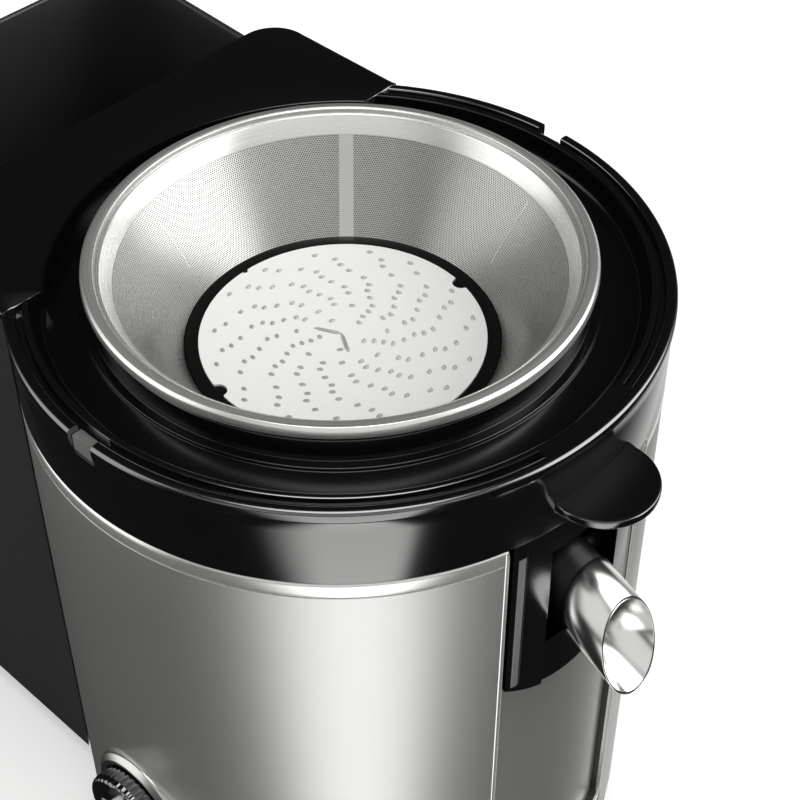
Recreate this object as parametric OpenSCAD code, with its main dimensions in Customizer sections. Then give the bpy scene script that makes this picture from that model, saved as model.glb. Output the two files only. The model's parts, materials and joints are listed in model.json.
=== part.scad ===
// Centrifugal juicer with its lid off: steel drum with the motor, a removable juice bowl
// with a tipping spout, a spinning sieve basket and a pulp container at the back.
// Heights are above the table, the spout points to -Y and the container stands at +Y.

/* [Drum] */
// Outer diameter of the steel drum
drum_d = 219.2; // [217:0.2:222]
// Height of the sieve rim above the table
rim_z = 272; // [268:1:278]
// Half width of the front opening in the drum
opening_w = 33.2; // [32.6:0.2:34]
// Thickness of the drum's steel sheet
steel_t = 0.8; // [0.6:0.1:0.9]

/* [Bowl] */
// Height of the black wall below its flange, down to the steel drum
wall_h = 31.4; // [30:0.2:33]
// Depth of the lower edge of the spout bracket below the sieve rim
bracket_drop = 117.1; // [114:0.5:119]
// Depth of the thumb tab's top face below the sieve rim
tab_drop = 25.8; // [24:0.2:28]
// Radius of the thumb tab
tab_r = 18.3; // [16:0.1:19]

/* [Spout] */
// Downward slope of the spout
spout_slope = 27; // [22:1:30]
// Outer diameter of the steel sleeve
sleeve_d = 26.2; // [25.8:0.1:26.4]
// Slant of the cut mouth from the vertical
mouth_slant = 17.9; // [10:0.1:22]

/* [Sieve] */
// Diameter of the grater disc
disc_d = 98.1; // [96:0.1:98.6]
// Depth of the grater disc below the sieve rim
disc_drop = 35; // [34.6:0.1:36]
// Outer diameter of the rolled sieve rim
sieve_d = 169.2; // [168:0.2:170]

/* [Container] */
// Half width of the pulp container
box_w = 84; // [78:1:88]
// How far the container reaches behind the drum's axis
box_reach = 215; // [200:1:230]
// Wall thickness of the container
box_t = 2.5; // [2:0.1:3]

/* [Knob] */
// Radius of the speed knob
knob_r = 19; // [16:0.5:19]
// How far the knob stands out of the drum
knob_proud = 16; // [13:0.5:20]

/* [Hidden] */

$fn = 96;
gap = 0.1;               // play between pieces that are joined
slack = 0.3;             // room between pieces that move apart
far = 300;               // longer than anything that is cut
drum_r = drum_d / 2;
shell_in_r = drum_r - steel_t;
housing_r = shell_in_r - slack;
housing_t = 2.6;

// heights
feet_h = 4;
shell_z = 14;
wall_top_z = rim_z - 10.2;
wall_foot_z = rim_z - 6.1 - wall_h;
band_top_z = wall_foot_z - slack;
band_h = 5.9;
band_z = band_top_z - band_h;
deck_z = rim_z - 86;
deck_t = 3;
floor_z = rim_z - 78;
bearing_top_z = deck_z - 26;

// front opening and the pocket behind it
frame_w = 1.6;
opening_z = 34;
corner_r = 6;
pocket_w = 34.9;
pocket_y = 80;
pocket_z = 120;
panel_r = drum_r - 3.9;
panel_t = 0.8;
panel_top_z = rim_z - 104;

// spout axis: it crosses the barrel's centre
barrel_y = -98;
barrel_z = rim_z - 75.3;
barrel_r = 12.6;
barrel_w = 15;
bore_r = 10;
seal_r = 12.6;
sleeve_r = sleeve_d / 2;
sleeve_t = 0.65;
mouth_y = -124;
mouth_z = rim_z - 73.8;
sleeve_back_y = -111.3;
niche_w = 17.1;
niche_top_z = rim_z - 48.1;

base_screw_xy = 74;       // the screws sit in the middle of the base ring

// motor
shaft_r = 5;
fit_gap = 0.05;
armature_r = 24;
stator_bore_r = 24.8;
core_z0 = deck_z - 102;
core_h = 48;
stator_x = 46;
stator_y = 38;
screw_x = 40;
screw_y = 32;
mount_xy = 50;
coupling_r = 13;

// knob and interlock
knob_z = 75;
pin_x = 106;
pin_travel = 3;

// how far the outermost pieces reach from the drum's axis
front_reach = 135.5;
grip_depth = 22;
rear_reach = box_reach + grip_depth;
notch_w = 5.2;            // half width of the notches that cut the flange at +X and -X
side_reach = sqrt(pow(drum_r + 0.6, 2) - notch_w * notch_w);
axis_x = (drum_r + knob_proud - side_reach) / 2;
axis_y = (front_reach - rear_reach) / 2;

module tube(r_out, r_in, z0, z1) {
    difference() {
        translate([0, 0, z0]) cylinder(r = r_out, h = z1 - z0);
        translate([0, 0, z0 - 1]) cylinder(r = r_in, h = z1 - z0 + 2);
    }
}

module disc(r, z0, z1) {
    translate([0, 0, z0]) cylinder(r = r, h = z1 - z0);
}

module block(x0, x1, y0, y1, z0, z1) {
    translate([x0, y0, z0]) cube([x1 - x0, y1 - y0, z1 - z0]);
}

module rod_x(r, x0, x1) {
    translate([x0, 0, 0]) rotate([0, 90, 0]) cylinder(r = r, h = x1 - x0);
}

module rod_y(r, y0, y1) {
    translate([0, y1, 0]) rotate([90, 0, 0]) cylinder(r = r, h = y1 - y0);
}

module at_corners(x, y) {
    for (sx = [-1, 1])
        for (sy = [-1, 1])
            translate([sx * x, sy * y, 0]) children();
}

module on_both_sides() {
    children();
    mirror([1, 0, 0]) children();
}

// a window seen from the front, cut from y0 to y1, with round lower corners
module front_window(half_w, z0, z1, y0, y1, r) {
    translate([0, y1, 0]) rotate([90, 0, 0]) linear_extrude(height = y1 - y0) {
        translate([-half_w, z0 + r]) square([2 * half_w, z1 - z0 - r]);
        translate([-half_w + r, z0]) square([2 * (half_w - r), z1 - z0]);
        for (sx = [-1, 1])
            translate([sx * (half_w - r), z0 + r]) circle(r = r);
    }
}

// ---- drum and base ----

module steel_shell() {
    color("silver") difference() {
        tube(drum_r, shell_in_r, shell_z, band_z - gap);
        front_window(opening_w + frame_w + gap, opening_z - frame_w - gap, far, -far, 0, corner_r);
        knob_hole();
        gland_hole();
    }
}

module knob_hole() {
    translate([0, 0, knob_z]) rod_x(bezel_r + gap, -far, -60);
}

module gland_hole() {
    translate([0, 0, gland_z]) rotate([0, 0, gland_angle]) rod_x(gland_r + gap, 80, far);
}

// polished band round the top of the drum, and the frame of its front opening
module shell_trim() {
    color("whitesmoke") difference() {
        union() {
            tube(drum_r, drum_r - 1.4, band_z, band_top_z);
            intersection() {
                tube(drum_r, shell_in_r, opening_z - frame_w, band_top_z);
                front_window(opening_w + frame_w, opening_z - frame_w, band_top_z, -far, 0, corner_r);
            }
        }
        front_window(opening_w, opening_z, far, -far, 0, corner_r - frame_w);
    }
}

module recess_panel() {
    color("lightgray") intersection() {
        tube(panel_r, panel_r - panel_t, opening_z - 4, panel_top_z);
        union() {
            block(-36, 36, -far, 0, 0, pocket_z - 10);
            block(-opening_w + slack, opening_w - slack, -far, 0, 0, far);
        }
    }
}

// plastic drum inside the steel one, open in front for the pocket
module body_housing() {
    color("dimgray") difference() {
        tube(housing_r, housing_r - housing_t, shell_z, band_z - gap);
        block(-pocket_w - 2.7, pocket_w + 2.7, -far, -60, pocket_z - 2.6, far);
        front_window(opening_w, opening_z, pocket_z, -far, -95, corner_r - frame_w);
        knob_hole();
        gland_hole();
    }
}

// open-fronted pocket that the bowl's spout bracket drops into
module spout_pocket() {
    wall_y = pocket_y - 2.5;
    color("dimgray") difference() {
        intersection() {
            disc(housing_r - 1, pocket_z - 2.5, deck_z);
            block(-pocket_w - 2.6, pocket_w + 2.6, -far, -wall_y, 0, far);
        }
        block(-pocket_w, pocket_w, -far, -pocket_y, pocket_z, far);
        front_window(opening_w, opening_z, pocket_z + 10, -far, -95, corner_r - frame_w);
    }
}

module top_deck() {
    deck_r = housing_r - housing_t - gap;
    color("dimgray") difference() {
        union() {
            disc(deck_r, deck_z - deck_t, deck_z);
            disc(19.5, deck_z - deck_t, deck_z + 19);
            at_corners(mount_xy, mount_xy) disc(6, bearing_top_z - 6.5, deck_z);
            block(pin_x - 10, pin_x - 2, -5, 5, deck_z, deck_z + 40);
        }
        disc(12.2, deck_z - deck_t - 1, deck_z + 30);
        block(-pocket_w - 2.7, pocket_w + 2.7, -far, -pocket_y + 2.6, 0, far);
        at_corners(mount_xy, mount_xy) disc(2.6, bearing_top_z - 30, bearing_top_z + 10);
        translate([pin_x - 6, 0, 0]) disc(2.05, deck_z + 20, deck_z + 50);
        block(pin_x - 11, pin_x - 1, -3.1, 3.1, deck_z + 1, deck_z + 26);
    }
}

module base_ring() {
    color("black") difference() {
        tube(drum_r - 0.4, drum_r - 9, feet_h, shell_z - gap);
        at_corners(base_screw_xy, base_screw_xy) disc(2.1, 0, shell_z + 1);
    }
}

module bottom_cover() {
    vent_count = 24;
    color("black") difference() {
        disc(drum_r - 9.2, feet_h, feet_h + 3);
        for (k = [0 : vent_count - 1])
            rotate([0, 0, k * 360 / vent_count]) block(22, 52, -1.8, 1.8, 0, 20);
        at_corners(62, 62) disc(3.2, 0, 20);
    }
}

// tray behind the drum that the pulp container slides onto
module rear_cradle() {
    rail_w = box_w - 8;
    color("black") difference() {
        union() {
            block(-rail_w, rail_w, 60, box_reach - 6, feet_h + 1, feet_h + 5);
            on_both_sides() block(rail_w - 6, rail_w, 60, box_reach - 30, feet_h + 1, feet_h + 11);
        }
        disc(drum_r + slack, 0, far);
        translate([0, 160, 0]) for (x = [-44, -22, 0, 22, 44]) block(x - 3, x + 3, -20, 30, 0, 30);
    }
}

module rubber_feet() {
    color("black") {
        at_corners(62, 62) {
            cylinder(r1 = 8, r2 = 9, h = feet_h - gap);
            disc(3, feet_h - 1, feet_h + 6);
        }
        for (x = [-55, 55])
            translate([x, 198, 0]) cylinder(r1 = 7, r2 = 8, h = feet_h + 1 - gap);
    }
}

bezel_r = 24;

module knob_bezel() {
    color("gainsboro") translate([0, 0, knob_z]) difference() {
        rod_x(bezel_r, -drum_r - 2.4, -drum_r + 7);
        rod_x(knob_r + 0.6, -far, -drum_r + 4.5);
        rod_x(3.4, -far, 0);
    }
}

module rotary_switch() {
    color("navy") translate([0, 0, knob_z]) difference() {
        union() {
            block(-96, -82, -15, 15, -15, 15);
            rod_x(6, -101, -95);
            on_both_ends() block(-93, -91, 14, 20, -5, 5);
        }
        rod_x(3.06, -far, -84);
    }
}

module on_both_ends() {
    children();
    mirror([0, 1, 0]) children();
}

module control_board() {
    color("darkgreen") {
        block(-72, -70.4, -30, 30, 26, 92);
        block(-70.4, -60, -22, 0, 60, 84);
        block(-70.4, -64, 8, 20, 34, 50);
        for (z = [30, 42])
            translate([0, -12, z + 5]) rod_x(5, -70.5, -58);
    }
}

module suppressor() {
    color("gold") {
        block(62, 80, -14, 14, 18, 44);
        for (y = [-9, 9])
            translate([71, y, 0]) disc(1, 43, 50);
    }
}

module terminal_block() {
    color("ivory") difference() {
        block(40, 58, 50, 74, 10, 24);
        for (y = [54, 62, 70])
            translate([49, y, 0]) disc(2.2, 14, 30);
    }
}

gland_z = 28;
gland_r = 8;
gland_angle = 25;         // on the right side, just ahead of the container

// bushing that a mains lead would come out of
module cord_gland() {
    color("black") translate([0, 0, gland_z]) rotate([0, 0, gland_angle]) difference() {
        union() {
            rod_x(gland_r, drum_r - 12, drum_r + 4);
            rod_x(gland_r + 2.5, drum_r + 0.3, drum_r + 2.5);
        }
        rod_x(3.8, 60, far);
    }
}

// ---- interlock ----

module microswitch() {
    color("darkred") {
        block(pin_x - 10.5, pin_x - 1.5, -2.9, 2.9, deck_z + 1.1, deck_z + 17);
        block(pin_x - 7.2, pin_x - 4.8, -1.2, 1.2, deck_z + 17, deck_z + 17.6);
    }
}

// spring drawn as level turns that a thin upright joins
module coil_spring(r, wire, height, turns) {
    pitch = (height - 2 * wire) / (turns - 1);
    for (k = [0 : turns - 1])
        translate([0, 0, wire + k * pitch]) rotate_extrude($fn = 48)
            translate([r - wire, 0]) circle(r = wire, $fn = 16);
    translate([r - wire, 0, wire]) cylinder(r = wire * 0.7, h = height - 2 * wire, $fn = 16);
}

module interlock_spring() {
    color("silver") translate([pin_x - 6, 0, deck_z + 40.2]) coil_spring(3.4, 0.45, 7.4, 5);
}

// sprung blade in the rim notch: the closed lid presses it down onto the switch
module interlock_pin() {
    color("gray") {
        block(pin_x - 0.8, pin_x + 0.8, -4.3, 4.3, deck_z + 48, rim_z - 8.7);
        block(pin_x - 9.5, pin_x + 0.8, -4.3, 4.3, deck_z + 48, deck_z + 51);
        translate([pin_x - 6, 0, 0]) disc(2, deck_z + 18.4 + pin_travel, deck_z + 49);
    }
}

// ---- motor, fixed parts ----

module upper_bracket() {
    color("silver") difference() {
        union() {
            block(-52, 52, -40, 40, bearing_top_z - 16, bearing_top_z - 12);
            at_corners(mount_xy, mount_xy) disc(13, bearing_top_z - 16, bearing_top_z - 12);
            disc(17, bearing_top_z - 16, bearing_top_z);
        }
        disc(13 + fit_gap, bearing_top_z - 11, far);
        disc(9, 0, far);
        at_corners(mount_xy, mount_xy) disc(6.1, 0, far);
        at_corners(screw_x, screw_y) disc(2.2, 0, far);
    }
}

lower_z = core_z0 - 44;

module lower_bracket() {
    color("silver") difference() {
        union() {
            block(-48, 48, -9, 9, lower_z, lower_z + 4);
            block(-48, 48, -stator_y, stator_y, lower_z, lower_z + 4);
            disc(17, lower_z, lower_z + 14);
            at_corners(screw_x, screw_y) disc(5, lower_z, core_z0 - gap);
        }
        disc(13 + fit_gap, lower_z + 3, far);
        disc(9, 0, far);
        at_corners(screw_x, screw_y) disc(2.2, 0, far);
        for (x = [-28, 28])
            translate([x, 0, 0]) disc(8, 0, far);
    }
}

module stator_core() {
    color("slategray") difference() {
        block(-stator_x, stator_x, -stator_y, stator_y, core_z0, core_z0 + core_h);
        disc(stator_bore_r, 0, far);
        at_corners(31, 22) block(-6, 6, -5, 5, 0, far);
        at_corners(screw_x, screw_y) disc(2.2, 0, far);
    }
}

module field_coils() {
    color("peru") on_both_sides() difference() {
        block(27, 35, -26, 26, core_z0 - 9, core_z0 + core_h + 9);
        block(26, 36, -17.8, 17.8, core_z0 - gap, core_z0 + core_h + gap);
    }
}

brush_z = core_z0 - 18;

module brush_holders() {
    color("goldenrod") on_both_ends() difference() {
        block(-6, 6, 18, 36, brush_z - 6, brush_z + 6);
        block(-3.1, 3.1, 17, 34, brush_z - 3.1, brush_z + 3.1);
    }
}

module carbon_brushes() {
    color("black") on_both_ends() block(-3, 3, 13.2, 26, brush_z - 3, brush_z + 3);
}

module brush_springs() {
    color("silver") on_both_ends() translate([0, 33.8, brush_z]) rotate([90, 0, 0])
        coil_spring(2.6, 0.35, 7.6, 5);
}

module bearing(z, top) {
    tube(13, shaft_r + fit_gap, z, top);
}

module upper_bearing() {
    color("silver") bearing(bearing_top_z - 11, bearing_top_z - 1);
}

module lower_bearing() {
    color("silver") bearing(lower_z + 3 + gap, lower_z + 13);
}

// rubber spools that the motor hangs in
module rubber_mounts() {
    color("black") at_corners(mount_xy, mount_xy) difference() {
        union() {
            disc(6, bearing_top_z - 21, bearing_top_z - 6.6);
            disc(9.5, bearing_top_z - 21, bearing_top_z - 16 - gap);
            disc(9.5, bearing_top_z - 12 + gap, bearing_top_z - 6.6);
        }
        disc(2.7, 0, far);
    }
}

module screw(r, head_r, z_head, head_h, z_end) {
    disc(r, z_head, z_end);
    disc(head_r, z_head - head_h, z_head);
}

module mount_screws() {
    color("silver") at_corners(mount_xy, mount_xy)
        screw(2.5, 5, bearing_top_z - 21 - gap, 2.5, bearing_top_z + 8);
}

module motor_screws() {
    color("silver") at_corners(screw_x, screw_y)
        screw(2.1, 4, lower_z - gap, 2.4, bearing_top_z - 10);
}

module base_screws() {
    color("silver") at_corners(base_screw_xy, base_screw_xy)
        screw(2, 3.6, feet_h - gap, 1.6, shell_z - 1);
}

module shaft_seal() {
    color("saddlebrown") tube(12.1, shaft_r + fit_gap, deck_z + 11, deck_z + 18);
}

// ---- rotor ----

module motor_shaft() {
    color("silver") disc(shaft_r, lower_z - 18, deck_z + 28);
}

armature_slots = 12;

module slot_ring(width, r0, r1, z0, z1) {
    for (k = [0 : armature_slots - 1])
        rotate([0, 0, k * 360 / armature_slots]) block(r0, r1, -width / 2, width / 2, z0, z1);
}

module armature_core() {
    color("slategray") difference() {
        tube(armature_r, shaft_r + gap, core_z0, core_z0 + core_h);
        slot_ring(4.4, 13.8, 40, core_z0 - 1, core_z0 + core_h + 1);
    }
}

module armature_winding() {
    color("peru") {
        for (z = [core_z0 - 6, core_z0 + core_h + 0.2])
            tube(20, 8, z, z + 5.8);
        slot_ring(4, 14, 19.5, core_z0 - 3, core_z0 + core_h + 3);
    }
}

module commutator() {
    color("chocolate") difference() {
        tube(13, shaft_r + gap, brush_z - 9, brush_z + 9);
        for (k = [0 : armature_slots - 1])
            rotate([0, 0, k * 360 / armature_slots]) block(11.5, 14, -0.4, 0.4, 0, far);
    }
}

module cooling_fan() {
    blade_count = 9;
    fan_z = lower_z - 15;
    color("black") difference() {
        union() {
            disc(38, fan_z + 9, fan_z + 11);
            disc(9, fan_z, fan_z + 11);
            for (k = [0 : blade_count - 1])
                rotate([0, 0, k * 360 / blade_count])
                    translate([8, 0, 0]) rotate([0, 0, 24]) block(0, 27, -0.8, 0.8, fan_z, fan_z + 10);
        }
        disc(shaft_r + gap, 0, far);
    }
}

module drive_coupling() {
    color("white") difference() {
        union() {
            translate([0, 0, deck_z + 24]) cylinder(r = coupling_r, h = 12, $fn = 6);
            disc(9, deck_z + 20.5, deck_z + 24);
        }
        disc(shaft_r + gap, deck_z, deck_z + 28.1);
    }
}

// ---- juice bowl ----

rim_dz = 6.1;             // bowl flange below the sieve rim
lip_r = 83;
lip_in_r = 80.4;
ledge_r = 86.3;
channel_r = 97;
channel_z = rim_z - 13.9;
rim_in_r = 101.3;
rim_edge_r = 103.9;
flange_in_r = 106.2;
flange_r = drum_r + 0.6;
back_y = 62;              // the flange ends here and the chute plate begins
plate_w = sqrt(flange_r * flange_r - back_y * back_y);
plate_end_y = 128;
collar_r = 20;
wall_in_r = drum_r - 2.4;
notch_drop = 14.6;

// rise of the concave side of the pulp channel, as a quarter curve
function channel_curve() =
    [for (a = [15 : 15 : 90]) [channel_r + (rim_in_r - channel_r) * sin(a),
                               channel_z + (rim_z - 6.6 - channel_z) * (1 - cos(a))]];

module bowl_profile() {
    polygon(concat(
        [[collar_r, floor_z - 2.5], [collar_r, floor_z + 20], [collar_r + 2.5, floor_z + 20],
         [collar_r + 2.5, floor_z], [lip_in_r, floor_z], [lip_in_r, rim_z - 3.6],
         [lip_r, rim_z - 3.6], [lip_r, rim_z - 12], [ledge_r, rim_z - 12],
         [ledge_r, rim_z - 13.2], [channel_r, channel_z]],
        channel_curve(),
        [[rim_in_r + 0.6, rim_z - rim_dz], [rim_edge_r, rim_z - rim_dz], [rim_edge_r, rim_z - 9],
         [flange_in_r, rim_z - 9], [flange_in_r, rim_z - rim_dz], [flange_r, rim_z - rim_dz],
         [flange_r, wall_top_z], [drum_r, wall_top_z], [drum_r, wall_foot_z],
         [wall_in_r, wall_foot_z], [wall_in_r, rim_z - 12.4], [rim_edge_r - 1, rim_z - 12.4],
         [rim_edge_r - 3.5, rim_z - 16.4], [lip_r - 0.2, rim_z - 16.4],
         [lip_r - 0.2, floor_z - 2.5]]));
}

module chute_plate() {
    corner = 14;
    difference() {
        union() {
            block(-plate_w, plate_w, back_y, plate_end_y - corner, rim_z - 8.7, rim_z - rim_dz);
            block(-plate_w + corner, plate_w - corner, back_y, plate_end_y, rim_z - 8.7, rim_z - rim_dz);
            for (sx = [-1, 1])
                translate([sx * (plate_w - corner), plate_end_y - corner, 0])
                    disc(corner, rim_z - 8.7, rim_z - rim_dz);
            intersection() {
                tube(channel_r + 3, channel_r, rim_z - 16.4, rim_z - rim_dz);
                block(-far, far, back_y, far, 0, far);
            }
        }
        disc(channel_r, 0, far);
    }
}

// placed at the barrel's centre with +Z along the flow out of the spout
module along_spout() {
    translate([0, barrel_y, barrel_z]) rotate([90 + spout_slope, 0, 0]) children();
}

module juice_bowl() {
    color("black") difference() {
        union() {
            difference() {
                rotate_extrude() bowl_profile();
                difference() {
                    block(-far, far, back_y, far, channel_z, far);
                    disc(channel_r, 0, far);
                }
            }
            difference() {
                chute_plate();
                difference() {
                    disc(wall_in_r + 1, 0, rim_z - 16.4);
                    disc(channel_r, 0, rim_z);
                }
            }
            wall_top_ring();
            difference() {
                along_spout() disc(13.6, -24, -15.4);
                disc(lip_r - 1, 0, far);
            }
        }
        along_spout() disc(bore_r, -40, 10);
        along_spout() disc(seal_r + gap, -15.4, 0);
        on_both_sides() block(rim_edge_r + 1, far, -notch_w, notch_w, rim_z - notch_drop, far);
        // behind the drum the outer wall stops short, above the pulp container's front wall
        difference() {
            block(-far, far, back_y + 0.5, far, 0, rim_z - 16.4);
            disc(wall_in_r - 0.4, 0, far);
        }
    }
}

// closes the gap between the outer wall and the chute plate at the back
module wall_top_ring() {
    intersection() {
        tube(drum_r, wall_in_r, rim_z - 16, rim_z - 8);
        block(-far, far, back_y - 0.5, far, 0, far);
    }
}

// tongue of the bowl that drops into the front opening and carries the spout
module spout_bracket() {
    arc_r = 60;
    side_w = opening_w - 1.1;
    tongue_t = 3.2;
    color("black") difference() {
        union() {
            intersection() {
                tube(drum_r, drum_r - tongue_t, 0, wall_foot_z - gap);
                block(-side_w, side_w, -far, 0, 0, far);
                translate([0, 0, rim_z - bracket_drop + arc_r]) union() {
                    rod_y(arc_r, -far, 0);
                    block(-side_w - 1, side_w + 1, -far, 0, 0, far);
                }
            }
            intersection() {
                disc(drum_r - 1, 0, far);
                block(-niche_w - 2.9, niche_w + 2.9, -far, -91, barrel_z - 21, niche_top_z + 2);
            }
        }
        block(-niche_w, niche_w, -far, -93, barrel_z - 19.8, niche_top_z);
        along_spout() disc(seal_r + gap, -16, 0);
        translate([0, barrel_y, barrel_z]) rod_x(barrel_r + slack, -niche_w, niche_w);
        difference() {
            block(-niche_w, niche_w, -far, 0, 0, barrel_z);
            disc(drum_r - 1.6, 0, far);
        }
        translate([0, barrel_y, barrel_z]) rod_x(4.06, -far, far);
        on_both_sides() block(strip_x - gap, strip_x + strip_w + gap, -far, -strip_y, strip_z0 - gap, strip_z1 + gap);
    }
}

strip_x = 26.9;
strip_w = 3.1;
strip_y = 104.1;
strip_z0 = rim_z - 107.6;
strip_z1 = rim_z - 44;

module bracket_strips() {
    color("gray") intersection() {
        cylinder(r = drum_r - 0.1, h = far, $fn = 360);
        on_both_sides() block(strip_x, strip_x + strip_w, -far, -strip_y - gap, strip_z0, strip_z1);
    }
}

module thumb_tab() {
    tab_z = rim_z - tab_drop;
    color("black") difference() {
        union() {
            translate([0, -drum_r - 2, 0]) disc(tab_r, tab_z - 3.5, tab_z);
            for (x = [-8, 8])
                block(x - 1, x + 1, -drum_r - 12, -drum_r + 3, tab_z - 8, tab_z - 3);
        }
        disc(drum_r + gap, 0, far);
    }
}

module outlet_seal() {
    color("saddlebrown") along_spout() tube(seal_r, bore_r, -15.3, -13);
}

// fixed clip in the second rim notch
module notch_insert() {
    color("gray") block(-pin_x - 2.8, -pin_x + 0.8, -5, 5, rim_z - notch_drop + gap, rim_z - 8.7);
}

module spout_knuckle() {
    stub_r = sleeve_r - sleeve_t - gap;
    color("black") difference() {
        union() {
            translate([0, barrel_y, barrel_z]) {
                rod_x(barrel_r, -barrel_w, barrel_w);
                rod_x(4, -niche_w - 1.8, niche_w + 1.8);
            }
            along_spout() disc(stub_r, 0, 18);
        }
        along_spout() disc(bore_r, -40, 40);
    }
}

module spout_sleeve() {
    color("silver") intersection() {
        along_spout() tube(sleeve_r, sleeve_r - sleeve_t, 0, 70);
        block(-30, 30, -far, sleeve_back_y, 0, far);
        translate([0, mouth_y, mouth_z]) rotate([-mouth_slant, 0, 0]) block(-40, 40, 0, 200, -100, 100);
    }
}

// ---- sieve basket ----

cone_top_r = 75;
cone_foot_r = 53.9;
sheet_t = 0.6;

// half section of the turned-over steel rim
module sieve_rim() {
    r = sieve_d / 2;
    color("whitesmoke") rotate_extrude() translate([0, rim_z]) polygon([
        [cone_top_r - 0.4, -5.4], [78.3, 0.2], [79, 1], [79.6, 0.2], [80.2, 1.6], [81, 2.4],
        [r - 1.4, 2.2], [r - 0.3, 1.2], [r, -0.2], [r - 0.3, -1.6],
        [r - 1, -1.6], [r - 1, -0.2], [r - 1.8, 1.1], [81.2, 1.4], [80.6, 0.3],
        [79.9, -0.9], [79, -0.3], [78.6, -0.8], [cone_top_r + 0.3, -5.7]]);
}

module sieve_mesh() {
    z0 = rim_z - disc_drop - 0.5;
    z1 = rim_z - 5.8;
    color("gray") rotate_extrude() polygon([
        [cone_foot_r, z0], [cone_top_r - 0.6, z1], [cone_top_r - 0.6 + sheet_t, z1],
        [cone_foot_r + sheet_t, z0]]);
}

module grater_disc() {
    z = rim_z - disc_drop;
    color("white") difference() {
        disc(disc_d / 2, z - 0.8, z);
        for (a = [0, 180])
            rotate([0, 0, notch_angle + a]) translate([disc_d / 2, 0, 0]) disc(3, 0, far);
    }
}

notch_angle = 168;

module disc_ring() {
    z = rim_z - disc_drop;
    color("black") union() {
        tube(cone_foot_r - 0.2, 44, z - 5, z - 0.9);
        tube(cone_foot_r - 0.2, disc_d / 2 + gap, z - 5, z - 0.3);
    }
}

module sieve_hub() {
    z = rim_z - disc_drop;
    hub_z = z - 11;
    color("black") difference() {
        union() {
            disc(cone_foot_r - 0.4, hub_z, z - 5 - gap);
            disc(43.9, hub_z, z - 0.9);
            tube(26, 23.6, hub_z - 17, hub_z + 1);
            disc(16.5, hub_z - 16, hub_z + 1);
        }
        translate([0, 0, hub_z - 17]) cylinder(r = coupling_r + 0.6, h = 14.5, $fn = 6);
        disc(10, 0, hub_z - 15);
        for (a = [0, 120, 240])
            rotate([0, 0, a]) translate([36, 0, 0]) disc(1.6, 0, z - 1.5);
    }
}

module hub_screws() {
    hub_z = rim_z - disc_drop - 11;
    color("silver") for (a = [0, 120, 240])
        rotate([0, 0, a]) translate([36, 0, 0]) screw(1.5, 3, hub_z - gap, 1.8, hub_z + 9);
}

// ---- knob ----

knob_x = -drum_r - knob_proud;

module speed_knob() {
    color("black") translate([0, 0, knob_z]) difference() {
        union() {
            rod_x(knob_r, knob_x + 6, -drum_r + 3.8);
            intersection() {
                rod_x(knob_r - 0.5, knob_x, knob_x + 8);
                block(knob_x, knob_x + 8, -4.5, 4.5, -30, 30);
            }
        }
        rod_x(3.05, knob_x + 5, 0);
        block(knob_x - 1, knob_x + 1, -1.1, 1.1, 5.9, 16.1);
    }
}

module knob_pointer() {
    color("white") translate([0, 0, knob_z]) block(knob_x + 0.1, knob_x + 0.9, -1, 1, 6, 16);
}

module switch_spindle() {
    color("silver") translate([0, 0, knob_z]) rod_x(3, knob_x + 5.1, -85);
}

// ---- pulp container ----

module box_outline(inset) {
    corner = 26 - inset;
    front_y = 75 + inset;
    w = box_w - inset;
    end_y = box_reach - inset;
    difference() {
        union() {
            translate([-w, front_y]) square([2 * w, end_y - corner - front_y]);
            translate([-w + corner, front_y]) square([2 * (w - corner), end_y - front_y]);
            for (sx = [-1, 1])
                translate([sx * (w - corner), end_y - corner]) circle(r = corner);
        }
        circle(r = drum_r + 3 + inset);
    }
}

module pulp_container() {
    z0 = feet_h + 5.3;
    z1 = rim_z - 12;
    color("dimgray") difference() {
        translate([0, 0, z0]) linear_extrude(height = z1 - z0) box_outline(0);
        translate([0, 0, z0 + 3]) linear_extrude(height = z1) box_outline(box_t);
        // low front wall for the pulp to fly in, and a rim set back under the chute plate
        block(-box_w + 8, box_w - 8, 0, 126, rim_z - 40, far);
        block(-far, far, 0, 128.6, rim_z - 17.5, far);
        on_both_sides() block(box_w - 14.4, box_w - 7.6, 0, far, z0 - 1, z0 + 6.2);
    }
    color("dimgray") difference() {
        on_both_sides() block(box_w - 17, box_w - 1.5, 76, box_reach - 27, z0 + 0.5, z0 + 8.8);
        on_both_sides() block(box_w - 14.4, box_w - 7.6, 0, far, z0 - 1, z0 + 6.2);
        disc(drum_r + 4, 0, far);
    }
}

module container_grip() {
    grip_z0 = rim_z - 140;
    grip_z1 = rim_z - 30;
    y0 = box_reach + gap;
    color("black") difference() {
        block(-11, 11, y0, y0 + grip_depth - gap, grip_z0, grip_z1);
        block(-12, 12, y0 - 1, y0 + grip_depth - 8, grip_z0 + 10, grip_z1 - 10);
    }
}

// ---- the drum's axis is placed so that the whole model is centred over the origin ----

module placed() {
    translate([axis_x, axis_y, 0]) children();
}

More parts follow.
